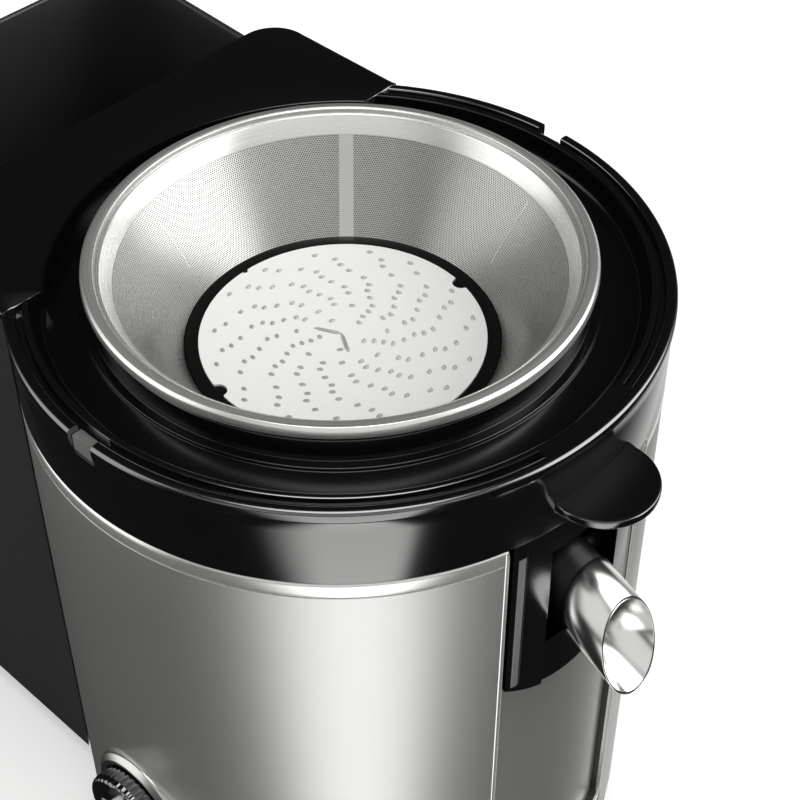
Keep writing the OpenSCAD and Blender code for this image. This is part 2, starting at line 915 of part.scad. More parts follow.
placed() {
    steel_shell();
    shell_trim();
    recess_panel();
    body_housing();
    spout_pocket();
    top_deck();
    base_ring();
    bottom_cover();
    rear_cradle();
    rubber_feet();
    knob_bezel();
    rotary_switch();
    control_board();
    suppressor();
    terminal_block();
    microswitch();
    interlock_spring();
    cord_gland();
    upper_bracket();
    lower_bracket();
    stator_core();
    field_coils();
    brush_holders();
    carbon_brushes();
    brush_springs();
    upper_bearing();
    lower_bearing();
    rubber_mounts();
    mount_screws();
    motor_screws();
    base_screws();
    shaft_seal();
    motor_shaft();
    armature_core();
    armature_winding();
    commutator();
    cooling_fan();
    drive_coupling();
    juice_bowl();
    spout_bracket();
    bracket_strips();
    thumb_tab();
    outlet_seal();
    notch_insert();
    spout_knuckle();
    spout_sleeve();
    sieve_rim();
    sieve_mesh();
    grater_disc();
    disc_ring();
    sieve_hub();
    hub_screws();
    speed_knob();
    knob_pointer();
    switch_spindle();
    interlock_pin();
    pulp_container();
    container_grip();
}
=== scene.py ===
"""Looks of a centrifugal juicer without its lid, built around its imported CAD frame."""
import json
import math

import bmesh
import bpy
import numpy as np
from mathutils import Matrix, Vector


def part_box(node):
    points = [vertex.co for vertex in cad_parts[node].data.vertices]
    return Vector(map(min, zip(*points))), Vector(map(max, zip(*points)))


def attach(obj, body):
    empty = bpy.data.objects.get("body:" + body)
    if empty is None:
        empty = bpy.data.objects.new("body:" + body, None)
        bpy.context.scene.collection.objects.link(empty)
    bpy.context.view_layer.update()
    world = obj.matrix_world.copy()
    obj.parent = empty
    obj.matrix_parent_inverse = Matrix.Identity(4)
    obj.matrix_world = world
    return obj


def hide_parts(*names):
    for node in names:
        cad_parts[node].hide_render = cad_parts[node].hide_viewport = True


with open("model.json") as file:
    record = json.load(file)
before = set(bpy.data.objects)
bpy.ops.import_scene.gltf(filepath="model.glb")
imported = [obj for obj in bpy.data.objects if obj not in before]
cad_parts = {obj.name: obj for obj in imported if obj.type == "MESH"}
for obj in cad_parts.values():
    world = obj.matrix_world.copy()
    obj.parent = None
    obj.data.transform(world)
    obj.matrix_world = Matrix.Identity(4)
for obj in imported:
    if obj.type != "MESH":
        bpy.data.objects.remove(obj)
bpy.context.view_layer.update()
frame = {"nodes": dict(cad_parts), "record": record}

MM = 0.001
TAU = 2 * math.pi


# ---------------------------------------------------------------- main sizes from the frame
def low(node):
    return np.array(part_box(node)[0]) / MM


def high(node):
    return np.array(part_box(node)[1]) / MM


AX, AY = ((low("grater_disc") + high("grater_disc")) / 2)[:2]
RIM = high("sieve_rim")[2] - 2.4
R_DRUM = high("steel_shell")[1] - AY
SHELL_Z = low("steel_shell")[2]
BAND_TOP = high("shell_trim")[2]
DISC_Z = high("grater_disc")[2]
SPOUT_Y = -98.0
SPOUT_Z = RIM - 75.3
SPOUT_SLOPE = math.radians(27)
KNOB_Z = (low("speed_knob")[2] + high("speed_knob")[2]) / 2
KNOB_X = low("speed_knob")[0] - AX
BOX_Z0 = low("pulp_container")[2]
BOX_Z1 = high("pulp_container")[2]
BOX_W = high("pulp_container")[0] - AX
BOX_END = high("pulp_container")[1] - AY
FLANGE_R = 110.2      # outside of the bowl's flange
WALL_R = 109.6        # outside of the wall under it
CHANNEL_R = 97.0      # outer edge of the floor round the sieve
BACK_Y = 62.0         # the chute plate starts here
PLATE_END = 128.0     # and ends here


# ---------------------------------------------------------------- mesh helpers (mm, drum axis at 0,0)
def fillet(a, p, b, radius, steps):
    a, p, b = np.array(a, float), np.array(p, float), np.array(b, float)
    u, v = a - p, b - p
    lu, lv = np.linalg.norm(u), np.linalg.norm(v)
    if radius <= 0 or lu < 1e-6 or lv < 1e-6:
        return [tuple(p)]
    u, v = u / lu, v / lv
    half = math.acos(max(-1, min(1, float(u @ v)))) / 2
    if half > math.radians(88):
        return [tuple(p)]
    t = min(radius / math.tan(half), 0.48 * lu, 0.48 * lv)
    r = t * math.tan(half)
    centre = p + (u + v) / np.linalg.norm(u + v) * r / math.sin(half)
    s, e = p + u * t - centre, p + v * t - centre
    sweep_angle = math.acos(max(-1, min(1, float(s @ e) / (r * r))))
    out = []
    for k in range(steps + 1):
        f = k / steps
        w = (math.sin((1 - f) * sweep_angle) * s + math.sin(f * sweep_angle) * e) / math.sin(sweep_angle)
        out.append(tuple(centre + w))
    return out


def turned(angle, section):
    """Points of an (r, z) section standing at an angle round the drum axis."""
    return [(r * math.cos(angle), r * math.sin(angle), z) for r, z in section]


def rounded(corners, steps=4):
    """Closed outline of (a, b) or (a, b, radius) corners, each corner turned into an arc."""
    out = []
    n = len(corners)
    for i, c in enumerate(corners):
        radius = c[2] if len(c) > 2 else 0
        out += fillet(corners[i - 1][:2], c[:2], corners[(i + 1) % n][:2], radius, steps)
    return np.array(out)


class Build:
    """Collects verts and faces in mm and turns them into one object."""

    def __init__(self):
        self.v, self.f, self.n = [], [], 0

    def add(self, verts, faces):
        verts = np.asarray(verts, float)
        self.v.append(verts)
        self.f += [tuple(int(i) + self.n for i in face) for face in faces]
        self.n += len(verts)

    def grid(self, rings, around=False, closed=True, caps=True):
        """rings[s][k]: s stations along, k points of the section."""
        rings = np.asarray(rings, float)
        s, n = rings.shape[:2]
        faces = []
        for i in range(s if around else s - 1):
            j = (i + 1) % s
            for k in range(n if closed else n - 1):
                m = (k + 1) % n
                faces.append((i * n + k, j * n + k, j * n + m, i * n + m))
        if caps and not around and closed:
            faces.append(tuple(range(n - 1, -1, -1)))
            faces.append(tuple((s - 1) * n + k for k in range(n)))
        self.add(rings.reshape(-1, 3), faces)

    def lathe(self, outline, segs=288, start=0.0, end=TAU, clamp=None):
        """Turns an (r, z) outline round the drum axis. clamp(r, angle) can hold angles back."""
        outline = np.asarray(outline, float)
        full = end - start > TAU - 1e-6
        angles = np.linspace(start, end, segs + 1)[: segs if full else segs + 1]
        rings = []
        for a in angles:
            r = outline[:, 0]
            t = np.full(len(r), a) if clamp is None else clamp(r, a)
            rings.append(np.stack([r * np.cos(t), r * np.sin(t), outline[:, 1]], 1))
        self.grid(rings, around=full)

    def make(self, name, material, body, replaces=(), sharp=32, bevel=0.0, clean=True, weighted=False):
        me = bpy.data.meshes.new(name)
        verts = np.concatenate(self.v)
        verts = (verts + np.array([AX, AY, 0])) * MM
        me.from_pydata(verts.tolist(), [], self.f)
        bm = bmesh.new()
        bm.from_mesh(me)
        if clean:
            bmesh.ops.remove_doubles(bm, verts=bm.verts, dist=2e-6)
            bmesh.ops.dissolve_degenerate(bm, edges=bm.edges, dist=1e-6)
        bmesh.ops.recalc_face_normals(bm, faces=bm.faces)
        bm.to_mesh(me)
        bm.free()
        o = bpy.data.objects.new(name, me)
        bpy.context.scene.collection.objects.link(o)
        finish_piece(o, material, body, replaces, sharp, bevel, weighted)
        return o


def finish_piece(o, material, body, replaces, sharp=32, bevel=0.0, weighted=False):
    me = o.data
    me.materials.clear()
    me.materials.append(material)
    me.shade_smooth()
    if bevel:
        m = o.modifiers.new("edge", "BEVEL")
        m.width = bevel * MM
        m.segments = 3
        m.limit_method = "ANGLE"
        m.angle_limit = math.radians(40)
        m.use_clamp_overlap = True
        bake(o)
        me = o.data
        me.shade_smooth()
    me.set_sharp_from_angle(angle=math.radians(sharp))
    if weighted:
        m = o.modifiers.new("even", "WEIGHTED_NORMAL")
        m.keep_sharp = True
        m.weight = 80
        bake(o)
    if replaces:
        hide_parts(*replaces)
    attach(o, body)


def bake(o):
    """Applies the object's modifiers to its mesh."""
    bpy.context.view_layer.update()
    dg = bpy.context.evaluated_depsgraph_get()
    new = bpy.data.meshes.new_from_object(o.evaluated_get(dg), depsgraph=dg)
    o.modifiers.clear()
    o.data = new


def prism(outline, z0, z1):
    """Faces of a straight prism over a 2-D outline, as (verts, faces)."""
    outline = np.asarray(outline, float)
    n = len(outline)
    verts = np.concatenate([np.c_[outline, np.full(n, z0)], np.c_[outline, np.full(n, z1)]])
    faces = [tuple(range(n - 1, -1, -1)), tuple(range(n, 2 * n))]
    faces += [(k, (k + 1) % n, n + (k + 1) % n, n + k) for k in range(n)]
    return verts, faces


def cutter(verts, faces):
    me = bpy.data.meshes.new("cutter")
    me.from_pydata(((np.asarray(verts) + np.array([AX, AY, 0])) * MM).tolist(), [], faces)
    bm = bmesh.new()
    bm.from_mesh(me)
    bmesh.ops.recalc_face_normals(bm, faces=bm.faces)
    bm.to_mesh(me)
    bm.free()
    o = bpy.data.objects.new("cutter", me)
    bpy.context.scene.collection.objects.link(o)
    return o


def cut(o, cutters, op="DIFFERENCE"):
    for c in cutters:
        m = o.modifiers.new("cut", "BOOLEAN")
        m.operation = op
        m.solver = "EXACT"
        m.object = c
    bake(o)
    for c in cutters:
        bpy.data.objects.remove(c)


def box_mesh(x0, x1, y0, y1, z0, z1):
    return prism([(x0, y0), (x1, y0), (x1, y1), (x0, y1)], z0, z1)


# ---------------------------------------------------------------- materials
class Nodes:
    """Small helper round a node tree."""

    def __init__(self, tree):
        self.t = tree

    def new(self, kind, **values):
        n = self.t.nodes.new(kind)
        for k, v in values.items():
            setattr(n, k, v)
        return n

    def put(self, socket, value):
        if isinstance(value, bpy.types.NodeSocket):
            self.t.links.new(value, socket)
        elif value is not None:
            socket.default_value = value

    def math(self, op, a, b=None, c=None, clamp=False):
        n = self.new("ShaderNodeMath", operation=op, use_clamp=clamp)
        for s, v in zip(n.inputs, (a, b, c)):
            self.put(s, v)
        return n.outputs[0]

    def ramp(self, value, lo, hi, to_lo=0.0, to_hi=1.0, smooth=True):
        n = self.new("ShaderNodeMapRange", interpolation_type="SMOOTHSTEP" if smooth else "LINEAR")
        for s, v in zip(n.inputs, (value, lo, hi, to_lo, to_hi)):
            self.put(s, v)
        return n.outputs[0]

    def mix(self, factor, a, b):
        n = self.new("ShaderNodeMix", data_type="RGBA")
        self.put(n.inputs[0], factor)
        self.put(n.inputs[6], a)
        self.put(n.inputs[7], b)
        return n.outputs[2]

    def combine(self, x, y, z):
        n = self.new("ShaderNodeCombineXYZ")
        for s, v in zip(n.inputs, (x, y, z)):
            self.put(s, v)
        return n.outputs[0]

    def noise(self, vector, scale, detail=3.0, rough=0.55):
        n = self.new("ShaderNodeTexNoise")
        self.put(n.inputs["Vector"], vector)
        n.inputs["Scale"].default_value = scale
        n.inputs["Detail"].default_value = detail
        n.inputs["Roughness"].default_value = rough
        return n.outputs[0]

    def coords(self, which="Object"):
        return self.new("ShaderNodeTexCoord").outputs[which]


def material(name, base, roughness, metallic=0.0, **options):
    """A Principled material. options: ior, spec, coat, coat_rough, aniso, vary (colour
    change), rough_vary, grain (scale, bump mm), bump, brush ('ring', 'spin', 'flat')."""
    m = bpy.data.materials.new(name)
    m.use_nodes = True
    t = m.node_tree
    k = Nodes(t)
    p = t.nodes["Principled BSDF"]
    p.inputs["Metallic"].default_value = metallic
    p.inputs["IOR"].default_value = options.get("ior", 1.5)
    p.inputs["Specular IOR Level"].default_value = options.get("spec", 0.5)
    p.inputs["Coat Weight"].default_value = options.get("coat", 0.0)
    p.inputs["Coat Roughness"].default_value = options.get("coat_rough", 0.05)
    p.inputs["Anisotropic"].default_value = options.get("aniso", 0.0)
    pos = k.coords("Object")
    brush = options.get("brush")
    if brush:
        sep = k.new("ShaderNodeSeparateXYZ")
        k.put(sep.inputs[0], pos)
        x = k.math("SUBTRACT", sep.outputs[0], AX * MM)
        y = k.math("SUBTRACT", sep.outputs[1], AY * MM)
        z = sep.outputs[2]
        if brush == "ring":
            streak = k.combine(k.math("MULTIPLY", k.math("ARCTAN2", y, x), 1.2),
                               k.math("MULTIPLY", z, 5200.0), 0.0)
        elif brush == "spin":
            r = k.math("SQRT", k.math("ADD", k.math("MULTIPLY", x, x), k.math("MULTIPLY", y, y)))
            streak = k.combine(k.math("MULTIPLY", k.math("ARCTAN2", y, x), 1.0),
                               k.math("MULTIPLY", r, 2600.0), k.math("MULTIPLY", z, 900.0))
        else:
            streak = k.combine(k.math("MULTIPLY", x, 60.0), k.math("MULTIPLY", y, 60.0),
                               k.math("MULTIPLY", z, 2200.0))
        fine = k.noise(streak, 1.0, 4.0, 0.7)
        soft = k.noise(pos, 34.0, 2.0)
        spread = options.get("rough_vary", 0.10)
        k.put(p.inputs["Roughness"], k.ramp(fine, 0.25, 0.75, roughness - spread / 2,
                                            roughness + spread / 2, False))
        dark = [c * (1 - options.get("vary", 0.10)) for c in base] + [1]
        k.put(p.inputs["Base Color"], k.mix(k.math("MULTIPLY_ADD", fine, 0.6,
                                                   k.math("MULTIPLY", soft, 0.4)), dark, list(base) + [1]))
        bump = k.new("ShaderNodeBump")
        bump.inputs["Strength"].default_value = options.get("bump", 0.06)
        bump.inputs["Distance"].default_value = 0.0001
        k.put(bump.inputs["Height"], fine)
        k.put(p.inputs["Normal"], bump.outputs[0])
        if options.get("aniso"):
            tan = k.new("ShaderNodeTangent", direction_type="RADIAL", axis="Z")
            k.put(p.inputs["Tangent"], tan.outputs[0])
    else:
        scale, depth = options.get("grain", (900.0, 0.03))
        soft = k.noise(pos, 28.0, 3.0)
        fine = k.noise(pos, scale, 2.0, 0.6)
        spread = options.get("rough_vary", 0.06)
        both = k.math("MULTIPLY_ADD", fine, 0.5, k.math("MULTIPLY", soft, 0.5))
        k.put(p.inputs["Roughness"], k.ramp(both, 0.3, 0.7, max(0.02, roughness - spread / 2),
                                            roughness + spread / 2, False))
        dark = [c * (1 - options.get("vary", 0.15)) for c in base] + [1]
        k.put(p.inputs["Base Color"], k.mix(both, dark, list(base) + [1]))
        bump = k.new("ShaderNodeBump")
        bump.inputs["Strength"].default_value = options.get("bump", 0.15)
        bump.inputs["Distance"].default_value = depth * MM
        k.put(bump.inputs["Height"], fine)
        k.put(p.inputs["Normal"], bump.outputs[0])
    return m


def perforated(name):
    """Micro mesh: staggered round holes in sheet steel, laid out on the UV map in mm. The holes are not cut;
    they are coloured near-black, part the black bowl behind, part painted shade.
    """
    m = bpy.data.materials.new(name)
    m.use_nodes = True
    t = m.node_tree
    k = Nodes(t)
    p = t.nodes["Principled BSDF"]
    p.inputs["Metallic"].default_value = 1.0
    p.inputs["Anisotropic"].default_value = 0.55
    uv = k.new("ShaderNodeSeparateXYZ")
    k.put(uv.inputs[0], k.coords("UV"))
    pitch = 0.80
    row = k.math("DIVIDE", uv.outputs[1], pitch * 0.866)
    odd = k.math("MULTIPLY", k.math("MODULO", k.math("FLOOR", row), 2.0), 0.5)
    a = k.math("SUBTRACT", k.math("FRACT", k.math("ADD", k.math("DIVIDE", uv.outputs[0], pitch), odd)), 0.5)
    b = k.math("MULTIPLY", k.math("SUBTRACT", k.math("FRACT", row), 0.5), 0.866)
    d = k.math("SQRT", k.math("ADD", k.math("MULTIPLY", a, a), k.math("MULTIPLY", b, b)))
    solid = k.ramp(d, 0.27, 0.36)
    noise = k.noise(k.coords("UV"), 0.9, 3.0, 0.7)
    steel = k.mix(noise, [0.50, 0.50, 0.49, 1], [0.64, 0.64, 0.62, 1])
    # hole colour: near-black, part the black bowl behind, part painted shade seen through the holes
    k.put(p.inputs["Base Color"], k.mix(solid, [0.02, 0.02, 0.02, 1], steel))
    k.put(p.inputs["Roughness"], k.ramp(noise, 0.2, 0.8, 0.25, 0.32, False))
    bump = k.new("ShaderNodeBump")
    bump.inputs["Strength"].default_value = 0.35
    bump.inputs["Distance"].default_value = 0.00012
    k.put(bump.inputs["Height"], solid)
    k.put(p.inputs["Normal"], bump.outputs[0])
    tan = k.new("ShaderNodeTangent", direction_type="RADIAL", axis="Z")
    k.put(p.inputs["Tangent"], tan.outputs[0])
    return m


M = {
    "drum_steel": material("drum_steel", (0.64, 0.635, 0.62), 0.30, 0.84, brush="ring", aniso=0.8,
                           vary=0.05, rough_vary=0.05, bump=0.02),
    "polished_steel": material("polished_steel", (0.88, 0.88, 0.865), 0.28, 0.82, brush="ring", vary=0.04,
                               rough_vary=0.04, bump=0.02),
    "spout_steel": material("spout_steel", (0.84, 0.84, 0.83), 0.20, 1.0, vary=0.02, rough_vary=0.02,
                            bump=0.01),
    "sieve_steel": material("sieve_steel", (0.82, 0.815, 0.80), 0.28, 0.82, brush="spin", aniso=0.35,
                            vary=0.06, bump=0.03),
    "cone_steel": material("cone_steel", (0.62, 0.615, 0.60), 0.24, 1.0, brush="ring", aniso=0.55,
                           vary=0.08, bump=0.04),
    "sieve_mesh": perforated("sieve_mesh_steel"),
    "disc_steel": material("disc_steel", (0.98, 0.98, 0.97), 0.46, 0.08, brush="spin", vary=0.02, bump=0.02),
    # darker grey steel for the raised teeth and rib: painted shade on the bumps
    "tooth_steel": material("tooth_steel", (0.50, 0.50, 0.49), 0.40, 0.45, vary=0.05),
    "gloss_black": material("gloss_black", (0.0015, 0.0015, 0.0017), 0.15, ior=2.4, bump=0.03,
                            rough_vary=0.03),
    "inner_black": material("inner_black", (0.0030, 0.0030, 0.0033), 0.17, ior=1.6, bump=0.03,
                            rough_vary=0.03),
    "tab_black": material("tab_black", (0.0035, 0.0035, 0.0040), 0.32, spec=0.16, bump=0.03, rough_vary=0.02),
    "satin_black": material("satin_black", (0.045, 0.044, 0.045), 0.34, bump=0.25, grain=(1800.0, 0.03)),
    "matt_black": material("matt_black", (0.018, 0.018, 0.019), 0.48, bump=0.35, grain=(1600.0, 0.05)),
    "deep_black": material("deep_black", (0.003, 0.003, 0.003), 0.35, spec=0.25, bump=0.2,
                           grain=(1600.0, 0.04)),
    "container_black": material("container_black", (0.028, 0.028, 0.030), 0.36, bump=0.35,
                                grain=(1500.0, 0.05)),
    "grey_plastic": material("grey_plastic", (0.15, 0.148, 0.145), 0.38, bump=0.2),
    "rubber_black": material("rubber_black", (0.014, 0.014, 0.014), 0.75, bump=0.4, grain=(1400.0, 0.06)),
    "seal_rubber": material("seal_rubber", (0.22, 0.10, 0.07), 0.6, bump=0.3),
    "cast_aluminium": material("cast_aluminium", (0.60, 0.60, 0.61), 0.42, 1.0, bump=0.5, grain=(700.0, 0.1)),
    "core_steel": material("core_steel", (0.20, 0.21, 0.23), 0.45, 0.6, brush="ring", vary=0.35, bump=0.5),
    "copper": material("copper", (0.62, 0.27, 0.11), 0.34, 1.0, brush="ring", vary=0.3, bump=0.6),
    "brass_parts": material("brass_parts", (0.75, 0.58, 0.28), 0.32, 1.0, brush="flat", vary=0.1),
    "carbon": material("carbon", (0.03, 0.03, 0.032), 0.6, bump=0.4),
    "plain_steel": material("plain_steel", (0.62, 0.62, 0.63), 0.25, 1.0, brush="flat", vary=0.08),
    "satin_silver": material("satin_silver", (0.60, 0.60, 0.59), 0.30, 1.0, brush="flat", vary=0.05),
    "white_plastic": material("white_plastic", (0.80, 0.80, 0.78), 0.30, vary=0.05),
    "board_green": material("board_green", (0.02, 0.15, 0.06), 0.4, bump=0.3, grain=(500.0, 0.1)),
    "film_yellow": material("film_yellow", (0.75, 0.50, 0.08), 0.28),
}

RECORD_SLOT = {s["node"]: s["material_slot"] for s in frame["record"]["subparts"]}
for node, o in frame["nodes"].items():
    o.data.materials.clear()
    o.data.materials.append(M[RECORD_SLOT[node]] if RECORD_SLOT[node] in M else M["plain_steel"])


# ---------------------------------------------------------------- juice bowl
def front_clamp(r, angle):
    """Holds the flange's ends on the plane y = BACK_Y. Angles run from the back left round the front."""
    s = np.arcsin(np.clip(BACK_Y / np.maximum(r, BACK_Y), -1, 1))
    return np.clip(angle, math.pi - s, TAU + s)


def back_clamp(r, angle):
    s = np.arcsin(np.clip(BACK_Y / np.maximum(r, BACK_Y), -1, 1))
    return np.clip(angle, s, math.pi - s)


def angles_with_steps(start, end, count, steps):
    """Evenly spaced angles plus a doubled station on each side of every step."""
    base = [a for a in np.linspace(start, end, count) if all(abs(a - s) > math.radians(0.25) for s in steps)]
    out = [(a, 0) for a in base] + [(s, -1) for s in steps] + [(s, 1) for s in steps]
    return sorted(out)


BRIDGE = math.radians(11)
NOTCH = math.radians(2.76)
SPOUT_AT = 1.5 * math.pi


def flange_section():
    rise = [(97 + 4.3 * math.sin(math.radians(a)), -13.9 + 7.3 * (1 - math.cos(math.radians(a))))
            for a in range(12, 85, 12)]
    top = [(101.45, -6.75), (101.75, -6.25), (102.3, -6.1), (103.4, -6.1), (103.75, -6.25), (103.9, -6.6)]
    groove = [(103.9, -8.7), (104.1, -9.0), (104.9, -9.0), (104.9, -9.0), (105.9, -9.0), (106.2, -8.7),
              (106.2, -6.9)]
    crown = [(106.35, -6.5), (106.7, -6.22), (107.4, -6.12), (108.3, -6.1), (109.1, -6.2), (109.7, -6.5),
             (110.05, -6.95), (FLANGE_R, -7.5)]
    face = [(FLANGE_R, -9.4), (110.1, -9.9), (109.8, -10.2), (WALL_R, -10.6)]
    wall = [(WALL_R, -14.7), (WALL_R, -36.6), (109.45, -37.2), (109.1, -37.5), (107.2, -37.5), (107.2, -14.5)]
    under = [(107.2, -12.6), (107.0, -12.4), (102.9, -12.4), (100.4, -16.4), (CHANNEL_R, -16.4)]
    section = [(CHANNEL_R, -13.9)] + rise + top + groove + crown + face + wall + under
    return np.array(section), len(rise) + len(top) + 1


def flange_ring(b):
    section, g0 = flange_section()
    bridges = (SPOUT_AT - BRIDGE, SPOUT_AT + BRIDGE)
    notches = (math.pi - NOTCH, math.pi + NOTCH, TAU - NOTCH, TAU + NOTCH)
    rings = []
    start, end = math.pi - math.asin(BACK_Y / CHANNEL_R), TAU + math.asin(BACK_Y / CHANNEL_R)
    for a, side in angles_with_steps(start, end, 300, bridges + notches):
        r, z = section[:, 0].copy(), section[:, 1].copy()
        bridged = bridges[0] < a < bridges[1] or (a, side) in ((bridges[0], 1), (bridges[1], -1))
        notched = any(n0 < a < n1 or (a, side) in ((n0, 1), (n1, -1))
                      for n0, n1 in (notches[:2], notches[2:]))
        if bridged:
            z[(r > 103.3) & (r < 107) & (z > -9.1)] = -6.1
        if notched:
            outer = np.zeros(len(r), bool)
            outer[g0 + 3:] = True
            z[outer & (r > 104.5) & (z > -12.0)] = -14.6
            z[outer & (r > 106.8) & (z > -13.0)] = -14.6
            z[-4:-2] = -17.2
            r[outer & (z == -14.6)] = np.minimum(r[outer & (z == -14.6)], WALL_R)
        t = front_clamp(r, a)
        rings.append(np.stack([r * np.cos(t), r * np.sin(t), z + RIM], 1))
    b.grid(rings)


def plate_edge(angle):
    """Distance from the axis to the outline of the rear plate."""
    half = math.sqrt(FLANGE_R ** 2 - BACK_Y ** 2)
    corner = 14.0
    c, s = math.cos(angle), math.sin(angle)
    t = min(half / max(abs(c), 1e-9), PLATE_END / max(s, 1e-9))
    if abs(t * c) > half - corner and t * s > PLATE_END - corner:
        cx, cy = math.copysign(half - corner, c), PLATE_END - corner
        dot = c * cx + s * cy
        t = dot + math.sqrt(max(0, dot * dot - (cx * cx + cy * cy - corner * corner)))
    return t


def rear_plate(b):
    rings = []
    start = math.atan2(BACK_Y, math.sqrt(FLANGE_R ** 2 - BACK_Y ** 2))
    for a in np.linspace(start, math.pi - start, 200):
        inner, outer = max(CHANNEL_R, BACK_Y / math.sin(a)), plate_edge(a)
        f = min(1.0, max(0.0, (outer - inner) / 6.0))
        sec = [(inner, -16.4), (inner, -7.0), (inner + 0.25 * f, -6.4), (inner + 0.9 * f, -6.1),
               (outer - 0.9 * f, -6.1), (outer - 0.25 * f, -6.35), (outer, -7.0), (outer, -8.7),
               (inner + 3 * f, -8.7), (inner + 3 * f, -16.4)]
        rings.append([(r * math.cos(a), r * math.sin(a), z + RIM) for r, z in sec])
    b.grid(rings)


bowl = Build()
dish = rounded([(20, -80.5, 1), (20, -58, 0.8), (22.5, -58, 0.8), (22.5, -78, 1.5), (80.4, -78, 7),
                (80.4, -3.6, 0.9), (83, -3.6, 0.9), (83, -12, 0.3), (86.3, -12, 0.45), (86.3, -13.2, 0.3),
                (CHANNEL_R, -13.9), (CHANNEL_R, -16.4), (82.8, -16.4, 0.6), (82.8, -80.5, 7)], 4)
bowl.lathe(dish + np.array([0, RIM]), 288)
flange_ring(bowl)
rear_plate(bowl)
rear_wall = [(WALL_R, RIM - 37.5, 0.8), (WALL_R, RIM - 8.75), (107.2, RIM - 8.75), (107.2, RIM - 37.5)]
bowl.lathe(rounded(rear_wall), 120, math.radians(30), math.radians(150), back_clamp)
juice_bowl = bowl.make("bowl", M["gloss_black"], "bowl", ("juice_bowl",), sharp=38)




def second_material(o, other, chosen):
    """Gives the faces picked by chosen(centre in mm from the drum axis, normal) another material."""
    o.data.materials.append(other)
    for poly in o.data.polygons:
        c = np.array(poly.center) / MM - np.array([AX, AY, 0])
        if chosen(c, poly.normal):
            poly.material_index = 1


second_material(juice_bowl, M["inner_black"], lambda c, n: math.hypot(c[0], c[1]) < 101.2)

# ---------------------------------------------------------------- sieve basket
rim = Build()
section = rounded([(74.6, -5.3, 0.2), (78.2, 0.15, 0.5), (78.75, 0.75, 0.3), (79.25, 0.1, 0.25),
                   (79.7, 0.25, 0.25), (80.2, 2.05, 0.5), (81.2, 2.4, 0.8), (83.4, 2.25, 0.8),
                   (84.3, 1.4, 0.7), (84.6, -0.2, 0.5), (84.35, -1.6, 0.2), (83.7, -1.6, 0.2),
                   (83.6, -0.3, 0.3), (82.8, 1.0, 0.3), (81.0, 1.3, 0.3), (80.4, -0.6, 0.3),
                   (79.6, -1.0, 0.2), (78.8, -0.4, 0.2), (75.3, -5.7, 0.2)], 4)
rim.lathe(section + np.array([0, RIM]), 360)
rim.make("sieve_rim_ring", M["sieve_steel"], "sieve", ("sieve_rim",), sharp=50)

CONE_FOOT, CONE_TOP = (53.9, DISC_Z - 0.5), (75.0, RIM - 5.15)
STRIP_AT = math.radians(43.6)
FOLDS = ((107.3, 0.28, 0.80), (344.0, 0.25, 0.93))


def cone_point(f, inward=0.0):
    r = CONE_FOOT[0] + (CONE_TOP[0] - CONE_FOOT[0]) * f
    z = CONE_FOOT[1] + (CONE_TOP[1] - CONE_FOOT[1]) * f
    return r - inward * 0.82, z + inward * 0.57


def mesh_cone(rows=9, segs=288, thick=0.55):
    """The closed cone that carries the micro mesh, with UVs in mm."""
    b = Build()
    levels = np.linspace(0.0, 1.0, rows)
    section = [cone_point(f) for f in levels] + [cone_point(f, -thick) for f in levels[::-1]]
    rings = []
    for i in range(segs):
        a = TAU * i / segs
        rings.append(turned(a, section))
    b.grid(rings, around=True)
    o = b.make("sieve_mesh_cone", M["sieve_mesh"], "sieve", ("sieve_mesh",), sharp=40)
    uv = o.data.uv_layers.new(name="mm")
    co = np.array([v.co for v in o.data.vertices]) / MM - np.array([AX, AY, 0])
    slant = (co[:, 2] - CONE_FOOT[1]) / 0.825
    ang = np.arctan2(co[:, 1], co[:, 0])
    for poly in o.data.polygons:
        ref = ang[poly.vertices[0]]
        for li, vi in zip(poly.loop_indices, poly.vertices):
            d = (ang[vi] - ref + math.pi) % TAU - math.pi
            uv.data[li].uv = ((ref + d + math.pi) * 65.0, slant[vi] + 10)


mesh_cone()


def cone_strip(b, at, f0, f1, width, lift, across=6, along=12):
    """A narrow raised strip of constant width running up the inside of the cone."""
    rings = []
    for i, f in enumerate(np.linspace(f0, f1, along)):
        end = i in (0, along - 1)
        ring = []
        for side in np.linspace(-1, 1, across):
            r, z = cone_point(f, lift * (0.2 if end else math.cos(side * math.pi / 2) ** 0.3
                                         if abs(side) < 0.99 else 0.0))
            a = at + side * width / 2 / r
            ring.append((r * math.cos(a), r * math.sin(a), z))
        for side in (1, -1):
            r, z = cone_point(f, -0.3)
            a = at + side * width / 2 / r
            ring.append((r * math.cos(a), r * math.sin(a), z))
        rings.append(ring)
    b.grid(rings)


strip = Build()
cone_strip(strip, STRIP_AT, 0.004, 0.995, 5.2, 0.16)
for at, f0, f1 in FOLDS:
    cone_strip(strip, math.radians(at), f0, f1, 0.8, 0.22, 5, 8)
strip.make("weld_strip", M["cone_steel"], "sieve", (), sharp=50)

disc = Build()
outline = []
NOTCHES_AT = ((math.radians(168.3), 3.0), (math.radians(347.5), 3.0), (math.radians(90), 1.1))
R_DISC = (high("grater_disc")[0] - low("grater_disc")[0]) / 2
for i in range(288):
    a = TAU * i / 288
    p = np.array([R_DISC * math.cos(a), R_DISC * math.sin(a)])
    if all(np.linalg.norm(p - R_DISC * np.array([math.cos(n), math.sin(n)])) > size
           for n, size in NOTCHES_AT):
        outline.append((a, p))
for n, size in NOTCHES_AT:
    c = R_DISC * np.array([math.cos(n), math.sin(n)])
    for k in range(13):
        t = n + math.pi - math.radians(84) + math.radians(168) * k / 12
        p = c + size * np.array([math.cos(t), math.sin(t)])
        outline.append((n + size / R_DISC * (6 - k) / 6.5, p))
outline = [p for _, p in sorted(outline, key=lambda e: e[0])]
disc.add(*prism(outline, DISC_Z - 0.8, DISC_Z - 0.0))


